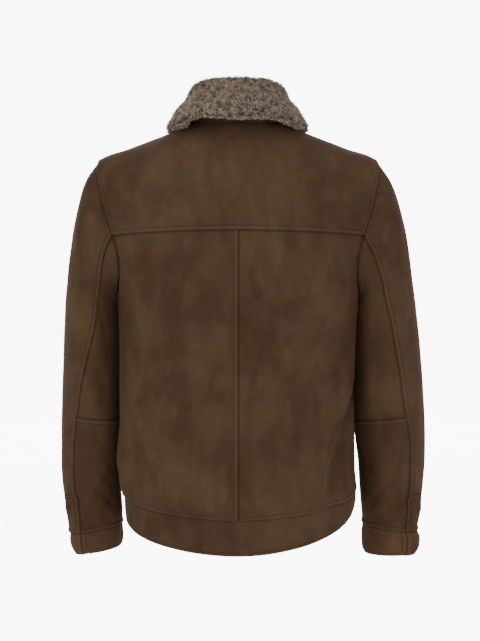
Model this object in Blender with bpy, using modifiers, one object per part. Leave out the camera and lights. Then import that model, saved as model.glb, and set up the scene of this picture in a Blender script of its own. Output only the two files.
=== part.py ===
"""A suede jacket with a shearling collar, in the hollow form that it has when it is worn.

Metres, +Z up. The origin is the middle of the neck opening at the height of the neck seam's
side points. The back faces +Y, the front -Y, and the wearer's left side is +X.

Every piece of cloth is a wall on one of two surfaces: the torso, measured by an angle round
from the centre back and a drop down from the neck seam, and each sleeve, measured by a column
round from the underarm and a run down from the armhole. The pieces are regions of them, with
a small gap left at each seam.
"""
import math

import bmesh
import bpy
import numpy as np
from mathutils import Matrix, Vector

GAP = 0.0003                 # left between two pieces at a seam
WALL = 0.003                 # hide with its clipped wool
STRIP_WALL = 0.002           # sewn-on strips of suede alone
COLLAR_WALL = 0.010          # hide with its long curly pile
LEFT, RIGHT = 1, -1          # the wearer's sides, as signs of X
SIDE_NAME = {LEFT: "left", RIGHT: "right"}

# ---- Torso: drops down the back at the seams, and angles round from the centre back.
YOKE_DROP = 0.178
UNDERARM_DROP = 0.290
TIP_DROP = 0.098
BAND_DROP = 0.655
HEM_DROP = 0.715
SIDE_ANGLE = 90.0
SHOULDER_NECK_ANGLE = 96.0
ARMHOLE_BACK_CUT = 30.0      # how far the armhole cuts into the back, in degrees
ARMHOLE_FRONT_CUT = 34.0
SHOULDER_TURN = 200.0        # place of the shoulder seam round the armhole, underarm 0
EDGE_REACH = 0.021           # each front runs this far past the middle
STRIP_REACH = 0.023          # inner side of the strip along the left front's edge
UNDERLAP_START = 0.042       # where the right front begins to dip under the left
UNDERLAP_END = 0.026

# ---- Buttons.
BUTTON_RADIUS = 0.011
BUTTON_THICKNESS = 0.0042
BUTTON_DROPS = (0.048, 0.138, 0.2815, 0.3853, 0.4859, 0.5827)
BUTTON_SIDES = 18

COLOURS = {                  # base colour, roughness
    "suede": ((0.105, 0.062, 0.038), 0.92),
    "shearling": ((0.330, 0.262, 0.205), 0.95),
    "horn": ((0.060, 0.034, 0.022), 0.40),
}


def table(names, *rows):
    """Name the columns of a short table; the first one is the position of each row."""
    columns = np.array(rows, dtype=float).T
    return dict(zip(names.split(), columns))


TORSO = table(
    "drop left right middle back front z_back z_left z_right z_front square",
    (0.000, 0.0725, 0.0725, 0.014, 0.062, 0.058, -0.004, -0.005, -0.005, -0.088, 2.00),  # neck
    (0.030, 0.124, 0.124, 0.012, 0.082, 0.074, -0.032, -0.0245, -0.0245, -0.112, 2.00),
    (0.062, 0.180, 0.180, 0.006, 0.102, 0.088, -0.065, -0.045, -0.045, -0.143, 2.05),
    (0.098, 0.234, 0.234, 0.000, 0.120, 0.103, -0.104, -0.067, -0.067, -0.182, 2.10),  # tips
    (0.135, 0.242, 0.242, 0.000, 0.129, 0.114, -0.142, -0.126, -0.126, -0.215, 2.15),
    (0.178, 0.231, 0.231, 0.000, 0.135, 0.121, -0.182, -0.193, -0.193, -0.245, 2.20),  # yoke
    (0.230, 0.214, 0.214, 0.000, 0.138, 0.125, -0.232, -0.247, -0.247, -0.275, 2.30),
    (0.290, 0.2040, 0.2040, 0.000, 0.137, 0.127, -0.290, -0.302, -0.302, -0.312, 2.40),
    (0.350, 0.2005, 0.1990, 0.000, 0.134, 0.127, -0.350, -0.358, -0.358, -0.364, 2.45),
    (0.440, 0.2005, 0.1970, 0.000, 0.126, 0.125, -0.442, -0.440, -0.440, -0.442, 2.50),
    (0.540, 0.2005, 0.1970, 0.000, 0.121, 0.124, -0.545, -0.530, -0.530, -0.532, 2.55),
    (0.608, 0.2005, 0.1985, 0.000, 0.124, 0.127, -0.612, -0.590, -0.590, -0.594, 2.60),
    (0.638, 0.2005, 0.2005, 0.000, 0.125, 0.128, -0.641, -0.612, -0.610, -0.619, 2.65),
    (0.655, 0.1955, 0.2000, 0.000, 0.119, 0.122, -0.654, -0.623, -0.620, -0.631, 2.70),  # band
    (0.685, 0.1930, 0.1985, 0.000, 0.117, 0.120, -0.684, -0.650, -0.645, -0.660, 2.70),
    (0.715, 0.1900, 0.1905, 0.000, 0.116, 0.118, -0.715, -0.678, -0.667, -0.690, 2.60),  # hem
)

# Ridges and hollows on the torso: from one angle and drop to another, and how high.
TORSO_FOLDS = table(
    "angle drop to_angle to_drop width height",
    (-74, 0.460, -40, 0.642, 0.024, 0.009),
    (-66, 0.560, -62, 0.640, 0.020, -0.007),
    (76, 0.520, 54, 0.640, 0.022, 0.006),
    (20, 0.560, 28, 0.640, 0.020, 0.004),
    (-14, 0.590, -22, 0.642, 0.016, -0.003),
    (58, 0.300, 40, 0.430, 0.030, -0.004),
    (-58, 0.300, -38, 0.450, 0.030, -0.005),
    (108, 0.330, 146, 0.520, 0.028, 0.006),
    (-106, 0.320, -142, 0.500, 0.028, 0.006),
    (122, 0.520, 134, 0.640, 0.022, 0.007),
    (-128, 0.540, -120, 0.642, 0.022, 0.006),
    (-152, 0.560, -148, 0.640, 0.018, -0.004),
    (154, 0.540, 158, 0.640, 0.018, -0.004),
)
METRES_PER_DEGREE = 0.0030   # round the torso and the sleeves' folds alike, near enough

# Sleeves: rings down from the armhole. A ring's first axis points away from the body and is
# tilted up, its second points to the back. The seams' places are angles round that ring.
SLEEVE_COLUMNS = "run x y z half_width half_depth tilt back_seam front_seam"
SLEEVES = {
    LEFT: table(
        SLEEVE_COLUMNS,
        (0.000, 0.2190, 0.000, -0.1850, 0.1190, 0.072, 82, 100, -88),    # armhole
        (0.030, 0.2298, 0.000, -0.2000, 0.1082, 0.077, 76, 104, -92),
        (0.060, 0.2358, 0.000, -0.2220, 0.0902, 0.079, 68, 108, -96),
        (0.100, 0.2418, -0.002, -0.2550, 0.0677, 0.079, 55, 112, -99),
        (0.140, 0.2455, -0.004, -0.2925, 0.0567, 0.077, 41, 110, -102),
        (0.190, 0.2481, -0.006, -0.3385, 0.0512, 0.074, 27, 104, -104),
        (0.250, 0.2500, -0.010, -0.4000, 0.0497, 0.071, 18, 88, -106),
        (0.330, 0.2520, -0.015, -0.4780, 0.0500, 0.067, 9, 71, -108),
        (0.400, 0.2533, -0.022, -0.5480, 0.0507, 0.063, 4, 64, -110),
        (0.470, 0.2538, -0.031, -0.6180, 0.0498, 0.058, 0, 62, -112),
        (0.520, 0.2484, -0.038, -0.6680, 0.0478, 0.053, -6, 62, -114),
        (0.548, 0.2472, -0.041, -0.6960, 0.0470, 0.048, -10, 62, -114),  # cuff seam
        (0.560, 0.2471, -0.042, -0.7080, 0.0472, 0.046, -10, 62, -114),
        (0.592, 0.2440, -0.043, -0.7355, 0.0450, 0.044, -9, 62, -114),   # cuff's edge
    ),
    RIGHT: table(
        SLEEVE_COLUMNS,
        (0.000, 0.2190, 0.000, -0.1850, 0.1190, 0.072, 82, 100, -88),
        (0.030, 0.2303, 0.000, -0.2000, 0.1075, 0.077, 76, 103, -92),
        (0.060, 0.2381, 0.000, -0.2220, 0.0907, 0.079, 68, 104, -96),
        (0.100, 0.2453, -0.002, -0.2550, 0.0697, 0.079, 55, 102, -99),
        (0.140, 0.2493, -0.004, -0.2925, 0.0590, 0.077, 41, 98, -102),
        (0.190, 0.2533, -0.006, -0.3385, 0.0545, 0.074, 27, 90, -104),
        (0.250, 0.2573, -0.010, -0.4000, 0.0555, 0.071, 16, 82, -106),
        (0.330, 0.2610, -0.015, -0.4780, 0.0575, 0.067, 8, 72, -108),
        (0.400, 0.2638, -0.022, -0.5480, 0.0580, 0.063, 4, 63, -110),
        (0.470, 0.2650, -0.031, -0.6180, 0.0550, 0.058, 0, 62, -112),
        (0.520, 0.2645, -0.038, -0.6680, 0.0504, 0.053, -4, 62, -114),
        (0.548, 0.2640, -0.041, -0.6940, 0.0485, 0.048, -7, 62, -114),
        (0.560, 0.2655, -0.042, -0.7060, 0.0507, 0.046, -5, 62, -114),
        (0.592, 0.2650, -0.043, -0.7410, 0.0497, 0.044, 0, 62, -114),
    ),
}
SLEEVE_FOLDS = table(        # places round the sleeve's ring, and runs down it
    "angle run to_angle to_run width height",
    (-30, 0.290, -110, 0.350, 0.018, -0.006),
    (-120, 0.270, -60, 0.300, 0.016, 0.004),
    (-150, 0.330, -90, 0.400, 0.018, 0.004),
    (60, 0.440, 20, 0.500, 0.020, 0.003),
    (150, 0.470, 110, 0.520, 0.014, -0.003),
    (80, 0.240, 130, 0.300, 0.022, -0.003),
)
CAP_RUN = 0.100              # run in which the sleeve leaves the armhole's own line
ELBOW_RUN = 0.350
VENT_RUN = 0.482
CUFF_RUN = 0.548
CUFF_END_RUN = 0.592
VENT_COLUMNS = 2             # width of the strip beside the vent
CUFF_LAP = 2                 # columns of the sleeve that the cuff's ends share
SLEEVE_CLEARANCE = 0.0014    # between a sleeve and the body's side

# Collar: places round the neck seam, where its lower edge lies on the torso, how far it
# stands off it there, and the height of the roll above the neck seam.
COLLAR = table(
    "angle edge_angle edge_drop stand_off roll_height",
    (0, 0, 0.028, 0.0310, 0.0735),
    (30, 30, 0.027, 0.0280, 0.0725),
    (60, 60, 0.025, 0.0190, 0.067),
    (90, 88, 0.024, 0.0130, 0.055),
    (125, 112, 0.030, 0.0120, 0.042),
    (145, 128, 0.045, 0.0112, 0.034),
    (161, 144, 0.066, 0.0112, 0.028),
)
COLLAR_END_ANGLE = 161.0
ROLL_RADIUS = 0.0135
STAND_INSET = 0.008          # the pile's face inside the neck seam

# ---- How finely the solids are cut into faces.
BACK_COLUMNS = 8
ARMHOLE_BACK_STEPS = 8
ARMHOLE_YOKE_STEPS = 7
ARMHOLE_FRONT_STEPS = 13
LOWER_DROPS = (0.335, 0.385, 0.440, 0.495, 0.545, 0.585, 0.612, 0.632, 0.646)
SHOULDER_ROWS = (0.0, 0.22, 0.48, 0.74, 1.0)
SLEEVE_RUNS = (0.0, 0.018, 0.040, 0.066, 0.100, 0.140, 0.185, 0.225, 0.262, 0.292, 0.320,
               ELBOW_RUN, 0.385, 0.425, 0.455, VENT_RUN, 0.510, 0.532, CUFF_RUN)
CUFF_RUNS = (CUFF_RUN, 0.562, 0.578, CUFF_END_RUN)
SEAM_COLUMN = 0.5 * GAP / 0.013    # half a seam's gap, in columns of a sleeve
TOP_COLUMNS = ARMHOLE_YOKE_STEPS + 6     # from the yoke's corner to the front seam
SLEEVE_STEPS = ARMHOLE_BACK_STEPS + ARMHOLE_YOKE_STEPS + ARMHOLE_FRONT_STEPS
COLLAR_STATIONS = 34


def read(columns, name, at):
    """Read a column on a smooth curve through its rows, straight on past its ends."""
    places = next(iter(columns.values()))
    values = columns[name]
    slopes = np.gradient(values, places)
    at = np.asarray(at, dtype=float)
    low = np.clip(np.searchsorted(places, at, side="right") - 1, 0, len(places) - 2)
    span = places[low + 1] - places[low]
    full = (at - places[low]) / span
    t = np.clip(full, 0.0, 1.0)
    value = ((1 + 2 * t) * (1 - t) ** 2 * values[low] + t * (1 - t) ** 2 * span * slopes[low]
             + t * t * (3 - 2 * t) * values[low + 1] - t * t * (1 - t) * span * slopes[low + 1])
    end_slope = np.where(full < 0, slopes[low], slopes[low + 1])
    return value + (full - t) * span * end_slope


def ramp(value, start, end):
    """Rise smoothly from 0 at start to 1 at end."""
    t = np.clip((np.asarray(value, dtype=float) - start) / (end - start), 0.0, 1.0)
    return t * t * (3 - 2 * t)


def unit(vectors):
    """Scale vectors to a length of one."""
    return vectors / np.linalg.norm(vectors, axis=-1, keepdims=True)


def fold_height(folds, across, along):
    """Add up the ridges and hollows of a table of folds at places on a surface."""
    names = list(folds)
    total = np.zeros(np.broadcast(across, along).shape)
    for row in zip(*(folds[name] for name in names)):
        start_angle, start, end_angle, end, width, height = row
        direction = np.array(((end_angle - start_angle) * METRES_PER_DEGREE, end - start))
        length = np.linalg.norm(direction)
        direction /= length
        east = (across - start_angle) * METRES_PER_DEGREE
        north = along - start
        on = (east * direction[0] + north * direction[1]) / length
        off = east * direction[1] - north * direction[0]
        taper = ramp(on, -0.15, 0.35) * (1 - ramp(on, 0.75, 1.2))
        total = total + height * taper * np.exp(-(off / width) ** 2)
    return total


# ---------------------------------------------------------------------------- torso
def torso_base(angle, drop):
    """Point of the torso without its folds."""
    turn = np.radians(angle)
    sine, cosine = np.sin(turn), np.cos(turn)
    square = read(TORSO, "square", drop)
    reach = (np.abs(sine) ** square + np.abs(cosine) ** square) ** (-1 / square)
    behind = cosine > 0
    depth = np.where(behind, read(TORSO, "back", drop), read(TORSO, "front", drop))
    on_left = sine > 0
    half_width = np.where(on_left, read(TORSO, "left", drop), read(TORSO, "right", drop))
    z_side = np.where(on_left, read(TORSO, "z_left", drop), read(TORSO, "z_right", drop))
    z_middle = np.where(behind, read(TORSO, "z_back", drop), read(TORSO, "z_front", drop))
    x = half_width * reach * sine
    y = read(TORSO, "middle", drop) + depth * reach * cosine
    z = z_side + (z_middle - z_side) * cosine ** 2
    return np.stack(np.broadcast_arrays(x, y, z), axis=-1)


def torso_normal(angle, drop):
    """Outward normal of the torso."""
    round_step, down_step = 0.5, 0.002
    around = torso_base(angle + round_step, drop) - torso_base(angle - round_step, drop)
    top = np.maximum(drop - down_step, 0.0)
    down = torso_base(angle, drop + down_step) - torso_base(angle, top)
    return unit(np.cross(around, down))


def torso(angle, drop, out=0.0):
    """Point of the torso's outer face with its folds, moved out, and its normal."""
    angle, drop = np.broadcast_arrays(np.asarray(angle, float), np.asarray(drop, float))
    normal = torso_normal(angle, drop)
    rise = fold_height(TORSO_FOLDS, angle, drop) + out
    return torso_base(angle, drop) + normal * rise[..., None], normal


def armhole(turn):
    """Angle and drop of the armhole: 0 at the underarm, then up the back and down the front."""
    t = np.radians(turn)
    middle = (UNDERARM_DROP + TIP_DROP) / 2
    half = (UNDERARM_DROP - TIP_DROP) / 2
    cut = np.where(np.sin(t) > 0, ARMHOLE_BACK_CUT, ARMHOLE_FRONT_CUT)
    return SIDE_ANGLE - cut * np.sin(t), middle + half * np.cos(t)


def yoke_turn():
    """Turn round the armhole at which the yoke seam meets it."""
    middle = (UNDERARM_DROP + TIP_DROP) / 2
    half = (UNDERARM_DROP - TIP_DROP) / 2
    return math.degrees(math.acos((YOKE_DROP - middle) / half))


def armhole_turns():
    """Turns of the armhole's points: the back's, the yoke's and the front's, joined."""
    back = np.linspace(0, yoke_turn(), ARMHOLE_BACK_STEPS + 1)
    over = np.linspace(yoke_turn(), SHOULDER_TURN, ARMHOLE_YOKE_STEPS + 1)
    front = np.linspace(SHOULDER_TURN, 360, ARMHOLE_FRONT_STEPS + 1)
    return back, over, front


def angle_at(x, drop):
    """Angle round to the front where the torso is x to one side of the middle."""
    return 180 - np.degrees(np.arcsin(x / read(TORSO, "left", drop)))


def underlap(angle, drop):
    """How far the right front dips in near its edge, to pass under the left front."""
    reach = read(TORSO, "left", drop) * np.sin(np.radians(np.abs(angle)))
    share = (1 - ramp(reach, UNDERLAP_END, UNDERLAP_START)) * (angle < -SIDE_ANGLE)
    return -(WALL + 3 * GAP) * share


def shoulder_angle(drop):
    """Angle of the shoulder seam between the neck and the armhole."""
    tip_angle, tip_drop = armhole(SHOULDER_TURN)
    return SHOULDER_NECK_ANGLE + (tip_angle - SHOULDER_NECK_ANGLE) * drop / tip_drop


# ---------------------------------------------------------------------------- sleeves
def sleeve_base(side, column, run):
    """Point of a sleeve without its folds; columns count round from the underarm."""
    rings = SLEEVES[side]
    get = {name: read(rings, name, run) for name in rings}
    first, last = ARMHOLE_BACK_STEPS, ARMHOLE_BACK_STEPS + TOP_COLUMNS
    over = (column - first) / (last - first)
    under = np.where(column < first, column + SLEEVE_STEPS - last, column - last)
    under = under / (SLEEVE_STEPS - last + first)
    on_top = (column >= first) & (column <= last)
    back, front = get["back_seam"], get["front_seam"]
    turn = np.where(on_top, back + (front - back) * over, front - (360 + front - back) * under)
    turn, tilt = np.radians(turn), np.radians(get["tilt"])
    away = get["half_width"] * np.cos(turn)
    x = get["x"] + away * np.cos(tilt)
    y = get["y"] + get["half_depth"] * np.sin(turn)
    z = get["z"] + away * np.sin(tilt)
    return np.stack(np.broadcast_arrays(side * x, y, z), axis=-1), np.degrees(turn)


def armhole_frame(side, column):
    """Point of the armhole that a sleeve's column meets, the torso's normal, and into the hole."""
    turns = np.concatenate([part[:-1] for part in armhole_turns()] + [[360.0]])
    turn = np.interp(column, np.arange(SLEEVE_STEPS + 1), turns)
    angle, drop = armhole(turn)
    point, normal = torso(side * angle, drop)
    after_angle, after_drop = armhole(turn + 2.0)
    before_angle, before_drop = armhole(turn - 2.0)
    along = torso_base(side * after_angle, after_drop) - torso_base(side * before_angle,
                                                                    before_drop)
    return point, normal, unit(np.cross(normal, along)) * side


def clear_of_torso(side, point, run):
    """Push a sleeve's points off the body's side, where the sleeve would cut into it."""
    drop = np.interp(-point[..., 2], -TORSO["z_left"], TORSO["drop"])
    width = read(TORSO, SIDE_NAME[side], drop)
    behind = point[..., 1] > 0
    depth = np.where(behind, read(TORSO, "back", drop), read(TORSO, "front", drop))
    square = read(TORSO, "square", drop)
    share = np.clip(np.abs(point[..., 1]) / depth, 0.0, 0.98)
    body = width * (1 - share ** square) ** (1 / square)
    away = ramp(run, 0.0, 0.5 * CAP_RUN)
    short = body + SLEEVE_CLEARANCE * away - side * point[..., 0]
    softness = SLEEVE_CLEARANCE * away
    push = 0.5 * (short + np.sqrt(short ** 2 + softness ** 2))
    return point + push[..., None] * np.array((side, 0.0, 0.0))


def sleeve_smooth(side, column, run):
    """Point of a sleeve without folds, drawn in to the armhole's own line at its top."""
    point, turn = sleeve_base(side, column, run)
    start, _ = sleeve_base(side, column, np.zeros_like(run))
    seam, torso_out, into_hole = armhole_frame(side, column)
    seam = seam + into_hole * 1.2 * GAP + torso_out * 0.5 * GAP
    fade = np.clip(1 - run / CAP_RUN, 0.0, 1.0) ** 2
    point = point + (seam - start) * fade[..., None]
    return clear_of_torso(side, point, run), turn


def sleeve(side, column, run, out=0.0):
    """Point of a sleeve's outer face with its folds, moved out, and its normal."""
    column, run = np.broadcast_arrays(np.asarray(column, float), np.asarray(run, float))
    point, turn = sleeve_smooth(side, column, run)
    step, down_step = 0.8, 0.012
    before, after = (column - step) % SLEEVE_STEPS, (column + step) % SLEEVE_STEPS
    around = sleeve_smooth(side, after, run)[0] - sleeve_smooth(side, before, run)[0]
    top = np.maximum(run - down_step, 0.0)
    down = sleeve_smooth(side, column, run + down_step)[0] - sleeve_smooth(side, column, top)[0]
    normal = unit(np.cross(around, down)) * side
    normal = clear_of_armhole(side, column, run, normal)
    fade = ramp(run, 0.0, CAP_RUN)
    rise = fold_height(SLEEVE_FOLDS, (turn + 180) % 360 - 180, run) * fade + out
    return point + normal * rise[..., None], normal


def clear_of_armhole(side, column, run, normal):
    """Turn the normals near the armhole so that the wall stays off the torso's own edge."""
    _, _, into_hole = armhole_frame(side, column)
    below = ramp(into_hole[..., 2], 0.2, 0.8) * (1 - ramp(run, 0.0, 0.03))
    normal = unit(normal - (below * 2.0)[..., None] * into_hole)
    lean = np.sum(normal * into_hole, axis=-1, keepdims=True)
    fixed = unit(normal - np.maximum(lean, 0.0) * into_hole)
    return np.where((run <= 0.0)[..., None], fixed, normal)


# ---------------------------------------------------------------------------- meshes
def new_object(name, mesh, finish, collection):
    """Link a mesh as a named object with its material."""
    colour, roughness = COLOURS[finish]
    material = bpy.data.materials.new(f"{name}_{finish}")
    material.use_nodes = True
    shader = material.node_tree.nodes["Principled BSDF"]
    shader.inputs["Base Color"].default_value = (*colour, 1.0)
    shader.inputs["Roughness"].default_value = roughness
    shader.inputs["Metallic"].default_value = 0.0
    mesh.materials.append(material)
    item = bpy.data.objects.new(name, mesh)
    collection.objects.link(item)
    return item


def wall(name, outer, normal, thickness, finish, collection):
    """Loft a closed wall from rows of points on its outer face and their normals."""
    rows, columns = outer.shape[:2]
    inner = outer - normal * thickness
    body = bmesh.new()
    faces = [[[body.verts.new(point) for point in row] for row in layer]
             for layer in (outer, inner)]
    for layer in faces:
        for i in range(rows - 1):
            for j in range(columns - 1):
                body.faces.new((layer[i][j], layer[i][j + 1],
                                layer[i + 1][j + 1], layer[i + 1][j]))
    rim = ([(0, j) for j in range(columns)] + [(i, columns - 1) for i in range(1, rows)]
           + [(rows - 1, j) for j in range(columns - 2, -1, -1)]
           + [(i, 0) for i in range(rows - 2, 0, -1)])
    for (i, j), (k, m) in zip(rim, rim[1:] + rim[:1]):
        body.faces.new((faces[0][i][j], faces[0][k][m], faces[1][k][m], faces[1][i][j]))
    bmesh.ops.recalc_face_normals(body, faces=body.faces)
    mesh = bpy.data.meshes.new(name)
    body.to_mesh(mesh)
    body.free()
    mesh.shade_smooth()
    mesh.set_sharp_from_angle(angle=math.radians(50))
    return new_object(name, mesh, finish, collection)


def spread(start, end, steps):
    """Columns between two edges that may change from row to row."""
    share = np.linspace(0, 1, steps + 1)
    start = np.asarray(start, dtype=float)[:, None]
    end = np.asarray(end, dtype=float)[:, None]
    return start + (end - start) * share[None, :]


GAP_ANGLE = 0.5 * GAP / METRES_PER_DEGREE    # half a seam's gap, as an angle round the torso


# ---------------------------------------------------------------------------- torso pieces
def build_back(side, collection):
    """One half of the back, from the waistband seam to the yoke seam."""
    back_turns, _, _ = armhole_turns()
    edge_angle, edge_drop = armhole(back_turns)
    drops = np.concatenate((edge_drop[::-1], LOWER_DROPS, [BAND_DROP]))
    edges = np.concatenate((edge_angle[::-1], [SIDE_ANGLE] * (len(LOWER_DROPS) + 1)))
    drops[0] += GAP / 2
    drops[-1] -= GAP / 2
    angles = spread(np.full(len(drops), GAP_ANGLE), edges - GAP_ANGLE, BACK_COLUMNS)
    outer, normal = torso(side * angles, drops[:, None])
    wall(f"back_{SIDE_NAME[side]}", outer, normal, WALL, "suede", collection)


def build_yoke(collection):
    """The yoke, from the yoke seam and the armholes' tops to the neck and shoulder seams."""
    _, over_turns, _ = armhole_turns()
    corner_angle, _ = armhole(yoke_turn())
    flat = np.linspace(0, float(corner_angle), BACK_COLUMNS + 1)
    over_angle, over_drop = armhole(over_turns)
    tip_drop = over_drop[-1]
    half_angles = np.concatenate((flat, over_angle[1:]))
    half_drops = np.concatenate((np.full(len(flat), YOKE_DROP), over_drop[1:]))
    outer_angles = np.concatenate((-half_angles[:0:-1], half_angles))
    outer_drops = np.concatenate((half_drops[:0:-1], half_drops))
    rows = np.array(SHOULDER_ROWS)[:, None]
    drops = outer_drops[None, :] * (1 - rows)
    lean = shoulder_angle(drops) / shoulder_angle(tip_drop)
    near_seam = ramp(np.abs(outer_angles), corner_angle, over_angle[-1])[None, :]
    angles = outer_angles[None, :] * (1 + (lean - 1) * near_seam)
    drops[0] -= GAP / 2 * (np.abs(outer_angles) <= corner_angle)
    angles[:, 0] += GAP_ANGLE
    angles[:, -1] -= GAP_ANGLE
    outer, normal = torso(angles, drops)
    wall("yoke", outer, normal, WALL, "suede", collection)


def front_columns(side, starts, drops):
    """Angles of a front's points in each row, from where it starts to its edge."""
    if side == LEFT:
        stops = (STRIP_REACH, -EDGE_REACH)
        steps = (9, 2)
    else:
        stops = (UNDERLAP_START, UNDERLAP_END, -EDGE_REACH)
        steps = (8, 1, 2)
    start = starts
    parts = []
    for stop, count in zip(stops, steps):
        end = angle_at(stop, drops)
        parts.append(spread(start, end, count)[:, :-1])
        start = end
    parts.append(start[:, None])
    return np.concatenate(parts, axis=1)


def front_grid(side):
    """Angles and drops of a front's points, from its side and armhole to its edge."""
    _, _, front_turns = armhole_turns()
    edge_angle, edge_drop = armhole(front_turns)
    shoulder = edge_drop[0] * (1 - np.array(SHOULDER_ROWS))[::-1]
    drops = np.concatenate((shoulder[:-1], edge_drop, LOWER_DROPS, [BAND_DROP]))
    starts = np.concatenate((shoulder_angle(shoulder[:-1]), edge_angle,
                             [SIDE_ANGLE] * (len(LOWER_DROPS) + 1)))
    drops[-1] -= GAP / 2
    return front_columns(side, starts + GAP_ANGLE, drops), drops


def build_front(side, collection):
    """One front, with the right one's edge dipped under the left one's."""
    angles, drops = front_grid(side)
    angles = side * angles
    outer, normal = torso(angles, drops[:, None], out=underlap(angles, drops[:, None]))
    wall(f"front_{SIDE_NAME[side]}", outer, normal, WALL, "suede", collection)


def build_front_strip(collection):
    """The strip along the left front's edge, which carries the buttons."""
    angles, drops = front_grid(LEFT)
    angles = angles[:, -3:]
    outer, normal = torso(angles, drops[:, None], out=GAP + STRIP_WALL)
    wall("front_strip", outer, normal, STRIP_WALL, "suede", collection)


def build_waistband(collection):
    """The waistband, once round, with its left end over its right end."""
    drops = np.array((BAND_DROP + GAP / 2, 0.670, 0.692, HEM_DROP))
    sides = np.full(len(drops), SIDE_ANGLE)
    back = spread(0 * sides, sides, BACK_COLUMNS)
    angles = np.concatenate((-front_columns(RIGHT, sides, drops)[:, ::-1], -back[:, -2::-1],
                             back[:, 1:], front_columns(LEFT, sides, drops)[:, 1:]), axis=1)
    outer, normal = torso(angles, drops[:, None], out=underlap(angles, drops[:, None]))
    wall("waistband", outer, normal, WALL, "suede", collection)


# ---------------------------------------------------------------------------- sleeve pieces
def sleeve_wall(name, side, columns, runs, collection):
    """A wall on a sleeve between two columns, with half a gap at each of its sides."""
    columns = np.array(columns, dtype=float)
    columns[0] += SEAM_COLUMN
    columns[-1] -= SEAM_COLUMN
    outer, normal = sleeve(side, columns[None, :] % SLEEVE_STEPS, np.asarray(runs)[:, None])
    wall(name, outer, normal, WALL, "suede", collection)


def build_sleeve(side, collection):
    """A sleeve's three pieces: the top, and the under sleeve above and below the elbow."""
    name = SIDE_NAME[side]
    first, last = ARMHOLE_BACK_STEPS, ARMHOLE_BACK_STEPS + TOP_COLUMNS
    runs = np.array(SLEEVE_RUNS)
    runs[-1] -= GAP / 2
    elbow = SLEEVE_RUNS.index(ELBOW_RUN)
    upper = runs[:elbow + 1].copy()
    upper[-1] -= GAP / 2
    lower = runs[elbow:].copy()
    lower[0] += GAP / 2
    sleeve_wall(f"sleeve_top_{name}", side, range(first, last + 1), runs, collection)
    under = range(last, SLEEVE_STEPS + first + 1)
    sleeve_wall(f"sleeve_upper_{name}", side, under, upper, collection)
    sleeve_wall(f"sleeve_lower_{name}", side, under, lower, collection)


def build_vent(side, collection):
    """The strip sewn on the top sleeve beside the vent, above the cuff."""
    runs = np.array(SLEEVE_RUNS[SLEEVE_RUNS.index(VENT_RUN):])
    runs[-1] -= GAP
    columns = ARMHOLE_BACK_STEPS + np.arange(VENT_COLUMNS + 1.0)
    columns[0] += SEAM_COLUMN
    outer, normal = sleeve(side, columns[None, :], runs[:, None], out=GAP + STRIP_WALL)
    wall(f"vent_{SIDE_NAME[side]}", outer, normal, STRIP_WALL, "suede", collection)


def build_cuff(side, collection):
    """A cuff, once round from the vent, with its first end lapped over its last."""
    runs = np.array(CUFF_RUNS)
    runs[0] += GAP / 2
    steps = np.arange(SLEEVE_STEPS + CUFF_LAP + 1.0)
    lift = (WALL + 2 * GAP) * (steps <= CUFF_LAP)
    columns = (ARMHOLE_BACK_STEPS + steps) % SLEEVE_STEPS
    outer, normal = sleeve(side, columns[None, :], runs[:, None], out=lift[None, :])
    wall(f"cuff_{SIDE_NAME[side]}", outer, normal, WALL, "suede", collection)


# ---------------------------------------------------------------------------- collar
def collar_section(angle):
    """Points of the collar's pile face at one place round the neck, seam to lower edge."""
    size = abs(angle)
    edge_angle = math.copysign(read(COLLAR, "edge_angle", size), angle)
    edge_drop = read(COLLAR, "edge_drop", size)
    stand_off = read(COLLAR, "stand_off", size)
    height = float(read(COLLAR, "roll_height", size))
    seam = torso_base(angle, 0.0)
    out = torso_base(angle, 0.001) - seam
    out[2] = 0.0
    out = unit(out)
    up = np.array((0.0, 0.0, 1.0))
    edge = torso_base(edge_angle, edge_drop) + torso_normal(edge_angle, edge_drop) * stand_off
    shoulder = seam + out * ROLL_RADIUS + up * (height - ROLL_RADIUS)
    inside = STAND_INSET + 0.35 * ROLL_RADIUS
    points = [seam - out * STAND_INSET + up * 2 * GAP,
              seam - out * inside + up * (0.45 * (height - ROLL_RADIUS)),
              seam - out * ROLL_RADIUS + up * (height - ROLL_RADIUS),
              seam - out * (0.7 * ROLL_RADIUS) + up * (height - 0.3 * ROLL_RADIUS),
              seam + up * height,
              seam + out * (0.7 * ROLL_RADIUS) + up * (height - 0.3 * ROLL_RADIUS),
              shoulder + (edge - shoulder) * 0.12,
              shoulder + (edge - shoulder) * 0.40 + out * 0.004,
              shoulder + (edge - shoulder) * 0.72 + out * 0.003,
              edge]
    return np.array(points)


def build_collar(collection):
    """The shearling collar: one folded sheet with its pile outside, stand and fall."""
    angles = np.linspace(-COLLAR_END_ANGLE, COLLAR_END_ANGLE, COLLAR_STATIONS + 1)
    outer = np.array([collar_section(angle) for angle in angles])
    along = np.gradient(outer, axis=0)
    down = np.gradient(outer, axis=1)
    normal = unit(np.cross(along, down))
    normal[:, 0, 2] = 0.0
    normal[:, 0] = unit(normal[:, 0])
    wall("collar", outer, normal, COLLAR_WALL, "shearling", collection)


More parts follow.
